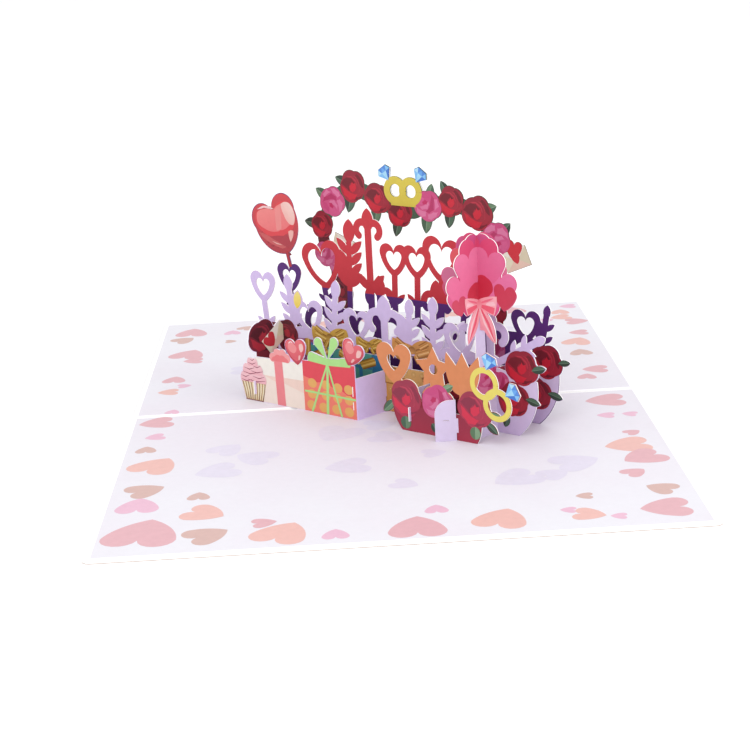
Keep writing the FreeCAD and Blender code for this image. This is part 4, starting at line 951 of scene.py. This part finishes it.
def page_material(name, near, far):
    """Pale lilac field inside a white margin, warmer towards the middle of the card."""
    made, tree, shader = material(name)
    place = node(tree, "ShaderNodeTexCoord")
    split = node(tree, "ShaderNodeSeparateXYZ")
    tree.links.new(place.outputs["Object"], split.inputs[0])
    across = maths(tree, "ABSOLUTE", split.outputs["X"])
    deep = maths(tree, "ABSOLUTE", split.outputs["Y"])
    inside = maths(tree, "MULTIPLY", maths(tree, "LESS_THAN", across, 0.0974),
                   maths(tree, "MULTIPLY", maths(tree, "LESS_THAN", deep, 0.147),
                         maths(tree, "GREATER_THAN", deep, 0.0018)))
    inside = maths(tree, "MULTIPLY", inside, faces_of(tree, (0, 0, 1)))
    radius = maths(tree, "SQRT", maths(tree, "ADD", maths(tree, "MULTIPLY", across, across),
                                       maths(tree, "MULTIPLY", deep, deep)))
    field = ramp(tree, maths(tree, "MULTIPLY", radius, 8.0), ((0.25, linear(near)), (1.0, linear(far))))
    haze = ramp(tree, noise(tree, 26, 2.0).outputs["Fac"],
                ((0.35, [0, 0, 0, 1]), (0.75, [0.6, 0.6, 0.6, 1])))
    clouds = mottled(tree, mixed(tree, haze, field, linear("F0E9F3")), 0.02)
    tree.links.new(mixed(tree, inside, linear("FAF9FB"), clouds), shader.inputs["Base Color"])
    shader.inputs["Roughness"].default_value = 0.6
    shader.inputs["Specular IOR Level"].default_value = 0.25
    grain(tree, shader)
    return made


INK = ink_material()
FRONT_OF_RANK = (-math.sin(ANGLE), -math.cos(ANGLE), 0)
FRONT_OF_CROSS = (math.sin(ANGLE), -math.cos(ANGLE), 0)
LOOKS = {
    # Gift card in lightened lilac with a brighter tone: painted light on its side panel
    "gift_sheet": card_material("gift_card", [FRONT_OF_RANK, FRONT_OF_CROSS], "DCC8F0", tone=PAINTED_LIGHT_TONE),
    "rose_sheet": card_material("rose_card", [FRONT_OF_RANK], (16.5, "8E1F30", ORANGE)),
    "lavender_sheet": card_material("lavender_card", [FRONT_OF_RANK], LAVENDER),
    "violet_sheet": card_material("violet_card", [FRONT_OF_RANK], (42, PURPLE, RUBY), span=(-47, 41)),
    "arch_sheet": card_material("arch_card", [FRONT_OF_RANK], (63, "6B1C2A", "4A6350")),
    # Cross sheets in lightened lavender and a brighter tone: painted light
    "left_cross_sheet": card_material("left_cross_card", [FRONT_OF_CROSS], PAINTED_LIGHT_LAVENDER, tone=PAINTED_LIGHT_TONE),
    "inner_cross_sheet": card_material("inner_cross_card", [FRONT_OF_CROSS], PAINTED_LIGHT_LAVENDER, tone=PAINTED_LIGHT_TONE),
    "right_cross_sheet": card_material("right_cross_card", [FRONT_OF_CROSS], PAINTED_LIGHT_LAVENDER, tone=PAINTED_LIGHT_TONE),
    "bouquet_cross_sheet": card_material("bouquet_cross_card", [FRONT_OF_CROSS],
                                         (47, PAINTED_LIGHT_LAVENDER, "D94A7C")),
    "bouquet_fan_sheet": card_material("bouquet_fan_card", [FRONT_OF_RANK], (47, "F79AAA", "E5588C")),
    "anchor_tab": card_material("anchor_card", [(0, 1, 0)], PALE_LAVENDER),
    "front_liner": page_material("front_page", "EEE7F3", "F2F1F8"),
    "back_liner": page_material("back_page", "F0EBF6", "F3F2F9"),
    # The cover's cut edges are grey-brown below their middle: painted contact shadow
    "cover_card": card_material("cover_board", [(0, 0, 1)], WHITE, 0.02, painted_shadow_edge="B9A6A0"),
}
for name, look in LOOKS.items():
    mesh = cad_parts[name].data
    mesh.materials.clear()
    mesh.materials.append(look)

gift_print()
rose_row_print()
lavender_print()
violet_print()
arch_print()
left_cross_print()
right_cross_print()
bouquet_cross_print()
bouquet_fan_print()
page_print("front_liner", -1)
page_print("back_liner", 1)


# Floor, light and camera

def floor():
    mesh = bpy.data.meshes.new("floor")
    reach, height = 20.0, -0.00002
    corners = [(x, y, height) for x, y in rectangle(-reach, -reach, reach, reach)]
    mesh.from_pydata(corners, [], [(0, 1, 2, 3)])
    made, tree, shader = material("studio_floor")
    tree.links.new(mottled(tree, linear(WHITE), 0.01, 12, 1.0), shader.inputs["Base Color"])
    shader.inputs["Roughness"].default_value = 0.9
    mesh.materials.append(made)
    surface = bpy.data.objects.new("floor", mesh)
    bpy.context.scene.collection.objects.link(surface)


def area_light(name, place, aim, power, size):
    lamp = bpy.data.lights.new(name, "AREA")
    lamp.energy, lamp.size = power, size
    light = bpy.data.objects.new(name, lamp)
    light.location = place
    light.rotation_euler = (Vector(aim) - Vector(place)).to_track_quat("-Z", "Y").to_euler()
    bpy.context.scene.collection.objects.link(light)


def studio():
    floor()
    world = bpy.data.worlds.new("studio")
    world.use_nodes = True
    backdrop = world.node_tree.nodes["Background"]
    backdrop.inputs["Color"].default_value = (1, 1, 1, 1)
    backdrop.inputs["Strength"].default_value = 1.0
    bpy.context.scene.world = world
    bpy.context.scene.view_settings.view_transform = "Standard"
    area_light("key", (-0.35, -1.2, 1.25), (0, 0, 0.02), 11, 0.9)
    area_light("fill", (1.0, -0.8, 0.7), (0, 0, 0.03), 4, 0.8)


def camera():
    """Camera of the picture, from its fitted place, turn and field of view."""
    azimuth, elevation, roll = -0.0182626, 0.2786779, 0.0541556
    back = Vector((math.sin(azimuth) * math.cos(elevation), -math.cos(azimuth) * math.cos(elevation),
                   math.sin(elevation)))
    ahead = -back
    right = ahead.cross(Vector((0, 0, 1))).normalized()
    down = ahead.cross(right)
    cos, sin = math.cos(roll), math.sin(roll)
    right, down = cos * right + sin * down, cos * down - sin * right
    lens = bpy.data.cameras.new("camera")
    lens.sensor_width = 36
    lens.lens = 36 * 1702.904 / 750
    lens.clip_start = 0.01
    eye = bpy.data.objects.new("camera", lens)
    turn = Matrix((right, -down, -ahead)).transposed().to_4x4()
    eye.matrix_world = Matrix.Translation(Vector((-15.050, -641.656, 195.182 + PAGE_TOP)) * MM) @ turn
    bpy.context.scene.collection.objects.link(eye)
    bpy.context.scene.camera = eye


studio()
camera()
